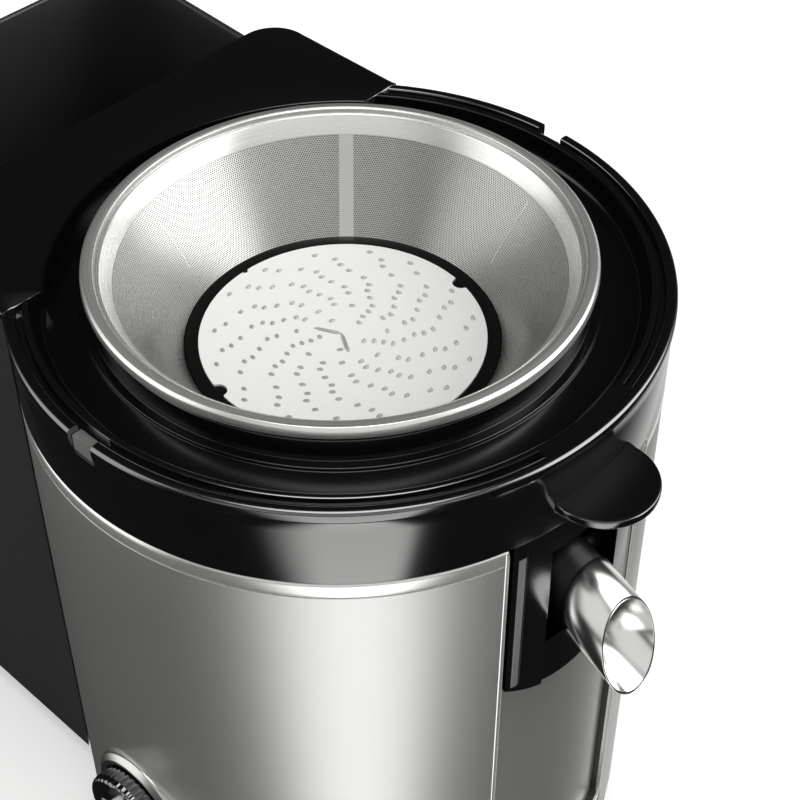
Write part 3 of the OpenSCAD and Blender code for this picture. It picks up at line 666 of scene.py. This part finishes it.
def tooth(b, x, y, turn, length=2.5, width=1.7, height=0.75):
    """A rasp tooth: a raised tongue, steep at its cutting end."""
    n = 10
    rings = []
    for f, h in ((1.0, -0.1), (0.86, 0.16), (0.55, 0.40), (0.22, 0.60)):
        ring = []
        for i in range(n):
            t = TAU * i / n
            px = math.cos(t) * length / 2 * f + (1 - f) * length * 0.30
            py = math.sin(t) * width / 2 * f
            ring.append((px, py, height * max(h, 0) / 0.62 - (0.1 if h < 0 else 0)))
        rings.append(ring)
    c, s = math.cos(turn), math.sin(turn)
    rings = [[(x + c * p[0] - s * p[1], y + s * p[0] + c * p[1], DISC_Z + p[2]) for p in ring]
             for ring in rings]
    b.grid(rings, caps=True)


ARMS = 15
for k in range(ARMS):
    for j in range(12):
        r = 8.0 + 3.25 * j + (k % 3) * 0.7
        if j < 2 and k % 3:
            continue
        if j < 5 and k % 2 and j % 2:
            continue
        a = TAU * k / ARMS + 0.062 * j * (1 + 0.045 * j) + 0.05 * math.sin(3.1 * k + 1.7 * j)
        tooth(disc, r * math.cos(a), r * math.sin(a), a + math.radians(100))


def rib(b, pts, width, height):
    """A pressed rib with a round back along a bent line."""
    for (x0, y0), (x1, y1) in zip(pts, pts[1:]):
        d = np.array([x1 - x0, y1 - y0])
        n = np.array([-d[1], d[0]]) / np.linalg.norm(d)
        rings = []
        for f in np.linspace(0, 1, 7):
            p = np.array([x0, y0]) + d * f
            w = width * (1.0 if 0 < f < 1 else 0.55)
            h = height * (1.0 if 0 < f < 1 else 0.25)
            ring = [(p[0] + n[0] * w / 2 * math.cos(t), p[1] + n[1] * w / 2 * math.cos(t),
                     DISC_Z - 0.1 + h * math.sin(t))
                    for t in np.linspace(0, math.pi, 8)]
            rings.append(ring)
        b.grid(rings)


RIB = [(-4.6, 9.4), (-0.2, 0.3), (-5.2, -7.8)]
rib(disc, RIB, 1.5, 0.75)
plate = disc.make("grater_plate", M["disc_steel"], "sieve", ("grater_disc",), sharp=28)
# raised faces (teeth and rib) get the darker steel as painted shade
second_material(plate, M["tooth_steel"], lambda c, n: c[2] > DISC_Z + 0.03)

ring = Build()
ring.lathe(rounded([(44, DISC_Z - 5), (53.7, DISC_Z - 5), (53.7, DISC_Z - 0.3, 0.4),
                    (49.2, DISC_Z - 0.3, 0.3), (49.2, DISC_Z - 0.95), (44, DISC_Z - 0.95)]), 288)
ring.make("disc_carrier_ring", M["deep_black"], "sieve", ("disc_ring",), sharp=40)


# ---------------------------------------------------------------- drum
OPEN_W = 33.2
TRIM_W = 1.6
OPEN_Z = 34.0
BAND_Z = BAND_TOP - 5.9


def around(x, r=None):
    """Angle of a point at sideways distance x on the drum's front."""
    return SPOUT_AT + math.asin(x / (r or R_DRUM))


def belt(b, spans, r_out, r_in, edge=0.35):
    """Closed wall section swept through (angle, z_low, z_high) stations."""
    rings = []
    for a, z0, z1 in spans:
        e = min(edge, (z1 - z0) * 0.3)
        sec = [(r_in, z0), (r_out - e, z0), (r_out - 0.3 * e, z0 + 0.3 * e), (r_out, z0 + e),
               (r_out, (z0 + z1) / 2),
               (r_out, z1 - e), (r_out - 0.3 * e, z1 - 0.3 * e), (r_out - e, z1), (r_in, z1)]
        rings.append(turned(a, sec))
    b.grid(rings, around=True)


def drum_spans(x_edge, z_low_open, z_top_open, z_low, z_high, corner, count=300):
    """Stations round the whole drum: full height outside |x| < x_edge, a low strip inside it."""
    half = math.asin(x_edge / R_DRUM)
    spans = []
    for a in np.linspace(SPOUT_AT + half, SPOUT_AT - half + TAU, count):
        spans.append((a, z_low, z_high))
    for x in np.concatenate([np.linspace(-x_edge, -x_edge + corner, 9),
                             np.linspace(-x_edge + corner, x_edge - corner, 30)[1:-1],
                             np.linspace(x_edge - corner, x_edge, 9)]):
        d = max(0.0, corner - (x_edge - abs(x)))
        spans.append((SPOUT_AT + TAU + math.asin(x / R_DRUM), z_low_open,
                      z_top_open + corner - math.sqrt(max(0, corner * corner - d * d))))
    return spans


shell = Build()
belt(shell, drum_spans(OPEN_W + TRIM_W + 0.1, SHELL_Z, OPEN_Z - TRIM_W - 0.1, SHELL_Z, BAND_Z - 0.1, 6.0),
     R_DRUM, R_DRUM - 0.8, 0.2)
drum = shell.make("drum_shell", M["drum_steel"], "base", ("steel_shell",), sharp=40)


def rod_mesh(p0, p1, r, n=64):
    p0, p1 = np.array(p0, float), np.array(p1, float)
    w = (p1 - p0) / np.linalg.norm(p1 - p0)
    u = np.cross(w, [0, 0, 1.0])
    u = u / np.linalg.norm(u)
    v = np.cross(w, u)
    ring = [u * r * math.cos(TAU * i / n) + v * r * math.sin(TAU * i / n) for i in range(n)]
    verts = [p0 + q for q in ring] + [p1 + q for q in ring]
    faces = [tuple(range(n - 1, -1, -1)), tuple(range(n, 2 * n))]
    faces += [(i, (i + 1) % n, n + (i + 1) % n, n + i) for i in range(n)]
    return verts, faces


GLAND = math.radians(25)
gland_dir = np.array([math.cos(GLAND), math.sin(GLAND), 0])
gland_z = (low("cord_gland")[2] + high("cord_gland")[2]) / 2
cut(drum, [cutter(*rod_mesh((-130, 0, KNOB_Z), (-80, 0, KNOB_Z), 24.1)),
           cutter(*rod_mesh(gland_dir * 90 + [0, 0, gland_z], gland_dir * 130 + [0, 0, gland_z], 8.1, 40))])
drum.data.shade_smooth()
drum.data.set_sharp_from_angle(angle=math.radians(40))


def trim_band(b):
    """The polished band with its rounded ends and the narrow frame of the opening, in one sweep."""
    x0, x1, inner = OPEN_W, OPEN_W + TRIM_W, 1.6
    half = math.asin((x1 + inner) / R_DRUM)
    rows = [(SPOUT_AT - half + TAU - t, BAND_Z, BAND_TOP, 0.0) for t in np.linspace(TAU - 2 * half, 0, 300)]
    def side(sign):
        out = []
        for x in np.linspace(x1 + inner, x1, 8):
            d = inner - (x - x1)
            out.append((sign * x, BAND_Z - (inner - math.sqrt(max(0, inner * inner - d * d))), BAND_TOP, 0.0))
        for k, x in enumerate(np.linspace(x1, x0, 9)):
            f = (x1 - x) / (x1 - x0)
            drop = 0.35 * (1 - math.sqrt(max(0, 1 - (2 * f - 1) ** 2)))
            top = BAND_TOP - 1.2 * (1 - math.sqrt(max(0, 1 - max(0, 1.6 * f - 0.6) ** 2)))
            out.append((sign * x, OPEN_Z - TRIM_W + 2.0, top, drop))
        return out
    def placed(cells):
        return [(SPOUT_AT + TAU + math.asin(x / R_DRUM), z0, z1, drop) for x, z0, z1, drop in cells]
    mid = [(x, OPEN_Z - TRIM_W, OPEN_Z, 0.0) for x in np.linspace(-x0 + 0.01, x0 - 0.01, 30)]
    rows += placed(side(-1)) + placed(mid) + placed(side(1)[::-1])
    rings = []
    for a, z0, z1, drop in rows:
        low_row = z1 < BAND_Z
        knee = z1 - 0.45 if low_row else BAND_Z + 0.7
        e0 = 0.35 if low_row or z0 < BAND_Z - 2 else 0.7
        e1 = 0.35 if low_row else 2.4
        r = R_DRUM - drop
        sec = [(R_DRUM - 1.4, z0), (r - e0, z0), (r - 0.3 * e0, z0 + 0.3 * e0), (r, z0 + e0),
               (r, min(knee, max(z0 + e0, (z0 + knee) / 2))), (r, max(knee, z0 + e0)),
               (r + (0 if low_row or drop else 0.12), (max(knee, z0 + e0) + z1 - e1) / 2), (r, z1 - e1)]
        sec += [(r - 0.5 * e1 * (1 - math.cos(t)), z1 - e1 * (1 - math.sin(t)))
                for t in (0.4, 0.8, 1.15, math.pi / 2)] + [(R_DRUM - 1.4, z1)]
        rings.append(turned(a, sec))
    b.grid(rings, around=True)


trim = Build()
trim_band(trim)
trim.make("top_band_trim", M["polished_steel"], "base", ("shell_trim",), sharp=50)

panel = Build()
rings = []
PANEL_R = R_DRUM - 3.9
for a in np.linspace(SPOUT_AT - 0.342, SPOUT_AT + 0.342, 60):
    top = RIM - 104 if abs(PANEL_R * math.sin(a - SPOUT_AT)) < 33.0 else 109.5
    sheet = ((PANEL_R, OPEN_Z - 4), (PANEL_R, top), (PANEL_R - 0.8, top), (PANEL_R - 0.8, OPEN_Z - 4))
    rings.append(turned(a, sheet))
panel.grid(rings)
panel.make("recess_sheet", M["drum_steel"], "base", ("recess_panel",), sharp=40)


# ---------------------------------------------------------------- spout bracket, strips and tab
SIDE_W = OPEN_W - 1.1
ARC_R = 60.0
NICHE_W = 17.1
bracket = Build()
rings = []
for x in -SIDE_W * np.cos(np.linspace(0, math.pi, 61)):
    a = SPOUT_AT + math.asin(x / R_DRUM)
    z0 = RIM - 57.1 - math.sqrt(ARC_R ** 2 - x * x)
    rings.append(turned(a, ((R_DRUM - 3.2, z0), (R_DRUM - 0.5, z0), (R_DRUM - 0.12, z0 + 0.12),
                            (R_DRUM, z0 + 0.5), (R_DRUM, RIM - 37.0), (R_DRUM - 3.2, RIM - 37.0))))
bracket.grid(rings)
tongue = bracket.make("spout_tongue", M["gloss_black"], "bowl", (), sharp=35)
niche_box = cutter(*box_mesh(-NICHE_W, NICHE_W, -130, -93, SPOUT_Z - 19.8, RIM - 48.1))
lower = Build()
rings = []
for a in np.linspace(around(-NICHE_W), around(NICHE_W), 40):
    rings.append(turned(a, ((R_DRUM - 1.6, SPOUT_Z - 60), (R_DRUM + 4, SPOUT_Z - 60), (R_DRUM + 4, SPOUT_Z),
                            (R_DRUM - 1.6, SPOUT_Z))))
lower.grid(rings)
low_cut = cutter(np.concatenate(lower.v), lower.f)
slots = []
for s in (-1, 1):
    x0, x1 = sorted((s * 26.8, s * 30.1))
    slots.append(cutter(*box_mesh(x0, x1, -130, -104.0, RIM - 107.7, RIM - 43.9)))
cut(tongue, [niche_box, low_cut] + slots)
tongue.data.shade_smooth()
tongue.data.set_sharp_from_angle(angle=math.radians(35))
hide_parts("spout_bracket")

niche = Build()
W, T = NICHE_W, 2.8    # half width and wall thickness of the niche
niche.add(*box_mesh(-W - T, -W, -105.5, -91, SPOUT_Z - 21, RIM - 46.1))
niche.add(*box_mesh(W, W + T, -105.5, -91, SPOUT_Z - 21, RIM - 46.1))
niche.add(*box_mesh(-W - T, W + T, -106.8, -91, RIM - 48.1, RIM - 46.1))
niche.add(*box_mesh(-W - T, W + T, -106.8, -91, SPOUT_Z - 21.6, SPOUT_Z - 19.8))
niche.add(*box_mesh(-W - T, W + T, -92.9, -91, SPOUT_Z + 12.7, RIM - 46.1))
niche.add(*box_mesh(-W - T, W + T, -92.9, -91, SPOUT_Z - 21.6, SPOUT_Z - 12.7))
niche.make("niche_walls", M["deep_black"], "bowl", (), sharp=30, clean=False)

strips = Build()
for s in (-1, 1):
    rings = []
    for x in np.linspace(26.95, 29.95, 7):
        a = around(s * x)
        inset = 0.35 if x in (26.95, 29.95) else 0.0
        r = R_DRUM - 0.15 - inset
        rings.append(turned(a, ((105.2, RIM - 107.5), (r, RIM - 107.5), (r, RIM - 44.1),
                                (105.2, RIM - 44.1))))
    strips.grid(rings)
strips.make("tongue_strips", M["grey_plastic"], "bowl", ("bracket_strips",), sharp=35,
            bevel=0.25)

TAB_Z = high("thumb_tab")[2]
TAB_R = (high("thumb_tab")[0] - low("thumb_tab")[0]) / 2
tab = Build()
tab_outline = []
for i in range(97):
    t = math.pi * 1.5 + math.radians(-92 + 184 * i / 96)
    tab_outline.append((TAB_R * math.cos(t), -111.6 + TAB_R * math.sin(t)))
tab_outline = [p for p in tab_outline if math.hypot(*p) > 109.65]
inner_arc = [(109.3 * math.cos(a), 109.3 * math.sin(a))
             for a in np.linspace(around(tab_outline[-1][0]), around(tab_outline[0][0]), 24)]
full = np.array(tab_outline + inner_arc)
rings = []
for inset, z in ((1.6, -3.5), (0.6, -3.3), (0.15, -2.9), (0.0, -2.2), (0.0, -1.0), (0.12, -0.45),
                 (0.4, -0.12), (0.9, 0.0), (1.6, 0.0)):
    ring_pts = []
    for i, p in enumerate(full):
        q = p.copy()
        if i < len(tab_outline):
            d = p - np.array([0, -111.6])
            q = p - d / np.linalg.norm(d) * inset
            if math.hypot(*q) < 109.3:
                q = q / math.hypot(*q) * 109.3
        ring_pts.append((q[0], q[1], TAB_Z + z))
    rings.append(ring_pts)
tab.grid(rings)
for x in (-8, 8):
    tab.add(*box_mesh(x - 1, x + 1, -121.4, -109.2, TAB_Z - 7.9, TAB_Z - 3.0))
lift_tab = tab.make("lift_tab", M["gloss_black"], "bowl", ("thumb_tab",), sharp=40,
                    weighted=True)
second_material(lift_tab, M["tab_black"], lambda c, n: n.z > 0.9)


# ---------------------------------------------------------------- spout
flow = np.array([0, -math.cos(SPOUT_SLOPE), -math.sin(SPOUT_SLOPE)])
side_x = np.array([1.0, 0, 0])
side_n = np.array([0, -math.sin(SPOUT_SLOPE), math.cos(SPOUT_SLOPE)])
spout_at = np.array([0, SPOUT_Y, SPOUT_Z])
MOUTH = np.array([0, -123.8, RIM - 73.8])
slant = math.radians(17.9)
mouth_n = np.array([0, math.cos(slant), -math.sin(slant)])


def spout_ring(radius, t, turn):
    off = side_x * math.cos(turn) + side_n * math.sin(turn)
    return spout_at + off * radius + flow * t


sleeve = Build()
rings = []
R_OUT, R_IN = 13.1, 12.45
for i in range(160):
    turn = TAU * i / 160
    def ends(radius):
        p = spout_ring(radius, 0, turn)
        t0 = (p[1] + WALL_R) / math.cos(SPOUT_SLOPE)
        t1 = ((MOUTH - p) @ mouth_n) / (flow @ mouth_n)
        return t0, t1
    o0, o1 = ends(R_OUT)
    i0, i1 = ends(R_IN)
    sec = [(R_OUT - 0.12, o0), (R_OUT, o0 + 0.15), (R_OUT, o0 + (o1 - o0) * 0.5), (R_OUT, o1 - 0.22),
           (R_OUT - 0.08, o1 - 0.07), (R_OUT - 0.22, o1 - 0.0), (R_IN + 0.2, i1), (R_IN + 0.06, i1 - 0.06),
           (R_IN, i1 - 0.2), (R_IN, i0 + (i1 - i0) * 0.5), (R_IN, i0 + 0.15), (R_IN + 0.1, i0)]
    rings.append([spout_ring(r, t, turn) for r, t in sec])
sleeve.grid(rings, around=True)
sleeve.make("spout_tube", M["spout_steel"], "spout", ("spout_sleeve",), sharp=50)

knuckle = Build()
rings = []
ball = [(12.35 * math.cos(t), 12.35 * math.sin(t)) for t in np.linspace(-1.24, 1.24, 27)]
for i in range(96):
    t = TAU * i / 96
    rings.append([(x, SPOUT_Y + r * math.cos(t), SPOUT_Z + r * math.sin(t))
                  for r, x in ball + [(4.0, 18.8), (0.6, 18.8), (0.6, -18.8), (4.0, -18.8)]])
knuckle.grid(rings, around=True)
rings = []
for i in range(96):
    turn = TAU * i / 96
    rings.append([spout_ring(r, t, turn)
                  for r, t in ((12.3, 0), (12.3, 17.5), (12.0, 18), (10.2, 18), (10.0, 17.6), (10.0, 0))])
knuckle.grid(rings, around=True)
joint = knuckle.make("spout_joint", M["deep_black"], "spout", ("spout_knuckle",), sharp=40)
cut(joint, [cutter(*rod_mesh(spout_at - flow * 20, spout_at + flow * 30, 9.95))])
joint.data.shade_smooth()
joint.data.set_sharp_from_angle(angle=math.radians(40))


# ---------------------------------------------------------------- knob
def lathe_x(b, outline, n=128):
    """Turns an (r, x) outline round the knob's axis."""
    rings = []
    for i in range(n):
        t = TAU * i / n
        rings.append([(x, r * math.cos(t), KNOB_Z + r * math.sin(t)) for r, x in outline])
    b.grid(rings, around=True)


bezel = Build()
lathe_x(bezel, rounded([(19.6, -R_DRUM + 5), (19.6, -R_DRUM - 2.0, 0.5), (21.5, -R_DRUM - 2.4, 0.8),
                        (24, -R_DRUM - 0.6, 1.2), (24, -R_DRUM + 7), (3.6, -R_DRUM + 7),
                        (3.6, -R_DRUM + 5)], 4))
bezel.make("knob_surround", M["satin_silver"], "base", ("knob_bezel",), sharp=40)

knob = Build()
rings = []
FLUTES = 40
KNOB_R = 19.0
outline = rounded([(3.1, -R_DRUM + 3.8), (18.2, -R_DRUM + 3.8, 0.4), (KNOB_R, KNOB_X + 9, 0.4),
                   (KNOB_R - 0.5, KNOB_X + 6.2, 1.6), (3.0, KNOB_X + 5.6, 0.4), (3.0, KNOB_X + 5.8)], 4)
for i in range(FLUTES * 8):
    t = TAU * i / (FLUTES * 8)
    dip = 0.35 * (0.5 - 0.5 * math.cos(t * FLUTES)) ** 2
    ring_pts = []
    for r, x in outline:
        rr = r - (dip if r > 17 else 0)
        ring_pts.append((x, rr * math.cos(t), KNOB_Z + rr * math.sin(t)))
    rings.append(ring_pts)
knob.grid(rings, around=True)
# grip bar across the face
bar = []
half_len, half_wid = 18.3, 4.5
for lift, inset in ((6.4, 0.0), (1.6, 0.0), (0.8, 0.25), (0.42, 0.7), (0.3, 1.3)):
    pts = []
    for i in range(64):
        t = TAU * i / 64
        across, along = abs(math.cos(t)) / (half_wid - inset), abs(math.sin(t)) / (half_len - inset)
        r = 1.0 / (across ** 6 + along ** 6) ** (1 / 6)
        r = min(r, KNOB_R - 0.7 - inset)
        pts.append((KNOB_X + lift, r * math.cos(t), KNOB_Z + r * math.sin(t)))
    bar.append(pts)
knob.grid(bar)
knob.make("speed_dial", M["gloss_black"], "knob", ("speed_knob",), sharp=35)

mark = Build()
mark.add(*box_mesh(KNOB_X + 0.05, KNOB_X + 0.98, -1.0, 1.0, KNOB_Z + 6, KNOB_Z + 16))
mark.make("dial_mark", M["white_plastic"], "knob", ("knob_pointer",), sharp=30, bevel=0.12)


# ---------------------------------------------------------------- pulp container
def container_outline(inset, corner=26.0, n_arc=40):
    """Outline of the container at an inset from its outer wall, front arc first."""
    front_r = WALL_R + 3.0 + inset
    w, end, front_y = BOX_W - inset, BOX_END - inset, 75 + inset
    pts = []
    a_start = math.acos(min(1, w / front_r))
    for a in np.linspace(a_start, math.pi - a_start, n_arc):
        y = front_r * math.sin(a)
        pts.append((front_r * math.cos(a), max(y, front_y)))
    c = corner - inset
    for a in np.linspace(math.pi, math.pi / 2, 14):
        pts.append((-w + c + c * math.cos(a), end - c + c * math.sin(a)))
    for a in np.linspace(math.pi / 2, 0, 14):
        pts.append((w - c + c * math.cos(a), end - c + c * math.sin(a)))
    return np.array(pts)


box = Build()
levels = [(6.0, BOX_Z0 + 0.0), (2.6, BOX_Z0 + 0.35), (1.0, BOX_Z0 + 1.3), (0.2, BOX_Z0 + 3.0),
          (0.0, BOX_Z0 + 6.0)]
levels += [(0.0, z) for z in np.linspace(BOX_Z0 + 20, BOX_Z1 - 9.0, 8)]
levels += [(0.0, BOX_Z1 - 0.9), (0.2, BOX_Z1 - 0.35), (0.6, BOX_Z1), (1.9, BOX_Z1), (2.3, BOX_Z1 - 0.3),
           (2.5, BOX_Z1 - 0.9)]
levels += [(2.5, z) for z in np.linspace(BOX_Z1 - 12, BOX_Z0 + 12, 6)]
levels += [(2.9, BOX_Z0 + 6.0), (4.4, BOX_Z0 + 3.6), (8.0, BOX_Z0 + 3.0)]


def rim_height(x, y, z):
    """The front wall is low for the pulp to fly in, and the rim is set back under the chute plate."""
    if abs(x) < BOX_W - 8 and y < 126:
        return min(z, RIM - 40)
    return min(z, RIM - 17.5) if y < 128.6 else z


box.grid([[(x, y, rim_height(x, y, z)) for x, y in container_outline(i)] for i, z in levels])
box.make("pulp_bin", M["container_black"], "container", ("pulp_container",), sharp=40)

grip = Build()
G0, G1 = RIM - 140, RIM - 30
Y0, Y1 = BOX_END - 0.6, BOX_END + 22
path = []
for t in np.linspace(0, 1, 8):
    path.append((Y0 + (Y1 - 4 - 12 - Y0) * t, G0 + 5))
for t in np.linspace(0, math.pi / 2, 8)[1:]:
    path.append((Y1 - 16 + 12 * math.sin(t), G0 + 17 - 12 * math.cos(t)))
for t in np.linspace(0, 1, 10)[1:]:
    path.append((Y1 - 4, G0 + 17 + (G1 - G0 - 34) * t))
for t in np.linspace(0, math.pi / 2, 8)[1:]:
    path.append((Y1 - 16 + 12 * math.cos(t), G1 - 17 + 12 * math.sin(t)))
for t in np.linspace(0, 1, 8)[1:]:
    path.append((Y1 - 16 - (Y1 - 16 - Y0) * t, G1 - 5))
path = np.array(path)
rings = []
for i, (y, z) in enumerate(path):
    d = path[min(i + 1, len(path) - 1)] - path[max(i - 1, 0)]
    d = d / np.linalg.norm(d)
    n = np.array([d[1], -d[0]])
    ring_pts = []
    for k in range(28):
        t = TAU * k / 28
        ux = 10.9 * math.copysign(abs(math.cos(t)) ** 0.55, math.cos(t))
        un = 3.9 * math.copysign(abs(math.sin(t)) ** 0.7, math.sin(t))
        ring_pts.append((ux, y + n[0] * un, z + n[1] * un))
    rings.append(ring_pts)
grip.grid(rings)
grip.make("bin_handle", M["gloss_black"], "container", ("container_grip",), sharp=50)

base = Build()
base.lathe(rounded([(100.6, 4.0), (107.8, 4.0, 1.4), (109.2, 6.5, 1.0), (109.2, 13.9, 0.3), (100.6, 13.9)],
                   4), 240)
base.make("foot_ring", M["matt_black"], "base", ("base_ring",), sharp=40)


# ---------------------------------------------------------------- camera
cam_data = bpy.data.cameras.new("camera")
cam_data.lens = 79.15
cam_data.sensor_width = 36.0
cam_data.clip_end = 20.0
cam = bpy.data.objects.new("camera", cam_data)
bpy.context.scene.collection.objects.link(cam)
cam.location = ((AX - 312.0) * MM, (AY - 323.1) * MM, (RIM + 360.3) * MM)
cam.rotation_euler = (math.radians(46.48), math.radians(-0.03), math.radians(-46.44))
bpy.context.scene.camera = cam

# ---------------------------------------------------------------- floor and light
floor_me = bpy.data.meshes.new("floor")
floor_me.from_pydata([(-4, -4, -0.0002), (4, -4, -0.0002), (4, 4, -0.0002), (-4, 4, -0.0002)], [],
                     [(0, 1, 2, 3)])
floor = bpy.data.objects.new("floor", floor_me)
bpy.context.scene.collection.objects.link(floor)
floor_mat = bpy.data.materials.new("floor_pale")
floor_mat.use_nodes = True
fp = floor_mat.node_tree.nodes["Principled BSDF"]
fp.inputs["Base Color"].default_value = (0.86, 0.86, 0.86, 1)
fp.inputs["Roughness"].default_value = 0.9
fp.inputs["Specular IOR Level"].default_value = 0.0
fp.inputs["Emission Color"].default_value = (1, 1, 1, 1)
fp.inputs["Emission Strength"].default_value = 0.35
floor_me.materials.append(floor_mat)
floor.visible_glossy = False

scene = bpy.context.scene
scene.view_settings.view_transform = "Standard"
scene.view_settings.look = "None"
scene.view_settings.exposure = 0.0
scene.view_settings.gamma = 1.0

world = bpy.data.worlds.new("studio")
scene.world = world
world.use_nodes = True
wt = world.node_tree
W_ = Nodes(wt)
direction = W_.new("ShaderNodeSeparateXYZ")
W_.put(direction.inputs[0], W_.coords("Generated"))
dx, dy, dz = direction.outputs
c44, s44 = math.cos(math.radians(44)), math.sin(math.radians(44))
right = W_.math("ADD", W_.math("MULTIPLY", dx, c44), W_.math("MULTIPLY", dy, -s44))
toward = W_.math("SUBTRACT", W_.math("MULTIPLY", dx, -s44), W_.math("MULTIPLY", dy, c44))
bearing = W_.math("MULTIPLY", W_.math("ARCTAN2", right, toward), 180 / math.pi)
height = W_.math("MULTIPLY", W_.math("ARCSINE", dz), 180 / math.pi)


def card(value, az, el):
    """One soft card: az and el are (start, full, full, end) in degrees."""
    a = W_.ramp(bearing, az[0], az[1])
    b = W_.ramp(bearing, az[2], az[3], 1.0, 0.0)
    c = W_.ramp(height, el[0], el[1])
    d = W_.ramp(height, el[2], el[3], 1.0, 0.0)
    return W_.math("MULTIPLY", W_.math("MULTIPLY", W_.math("MULTIPLY", a, b), W_.math("MULTIPLY", c, d)),
                   value)


CARDS = [
    card(1.9, (-34, -10, 20, 27), (-89, -75, -8, 4)),       # front card, below the horizon
    card(0.9, (104, 150, 165, 178), (-80, -70, -6, 4)),     # right side, low
    card(3.9, (50, 66, 106, 128), (2, 12, 50, 62)),         # right softbox
    card(1.6, (-124, -104, -70, -54), (-30, -10, 48, 60)),  # left softbox
    card(4.2, (-179.9, -179.8, 179.8, 179.9), (70, 79, 100, 101)),  # overhead
    card(0.75, (-60, -30, 30, 60), (4, 16, 55, 70)),        # front, above
]
total = 0.018
for c in CARDS:
    total = W_.math("ADD", c, total)
bg = wt.nodes["Background"]
seen = W_.new("ShaderNodeLightPath").outputs["Is Camera Ray"]
W_.put(bg.inputs["Color"], W_.mix(seen, W_.combine(total, total, W_.math("MULTIPLY", total, 0.985)),
                                  [0.96, 0.96, 0.96, 1]))
bg.inputs["Strength"].default_value = 1.0
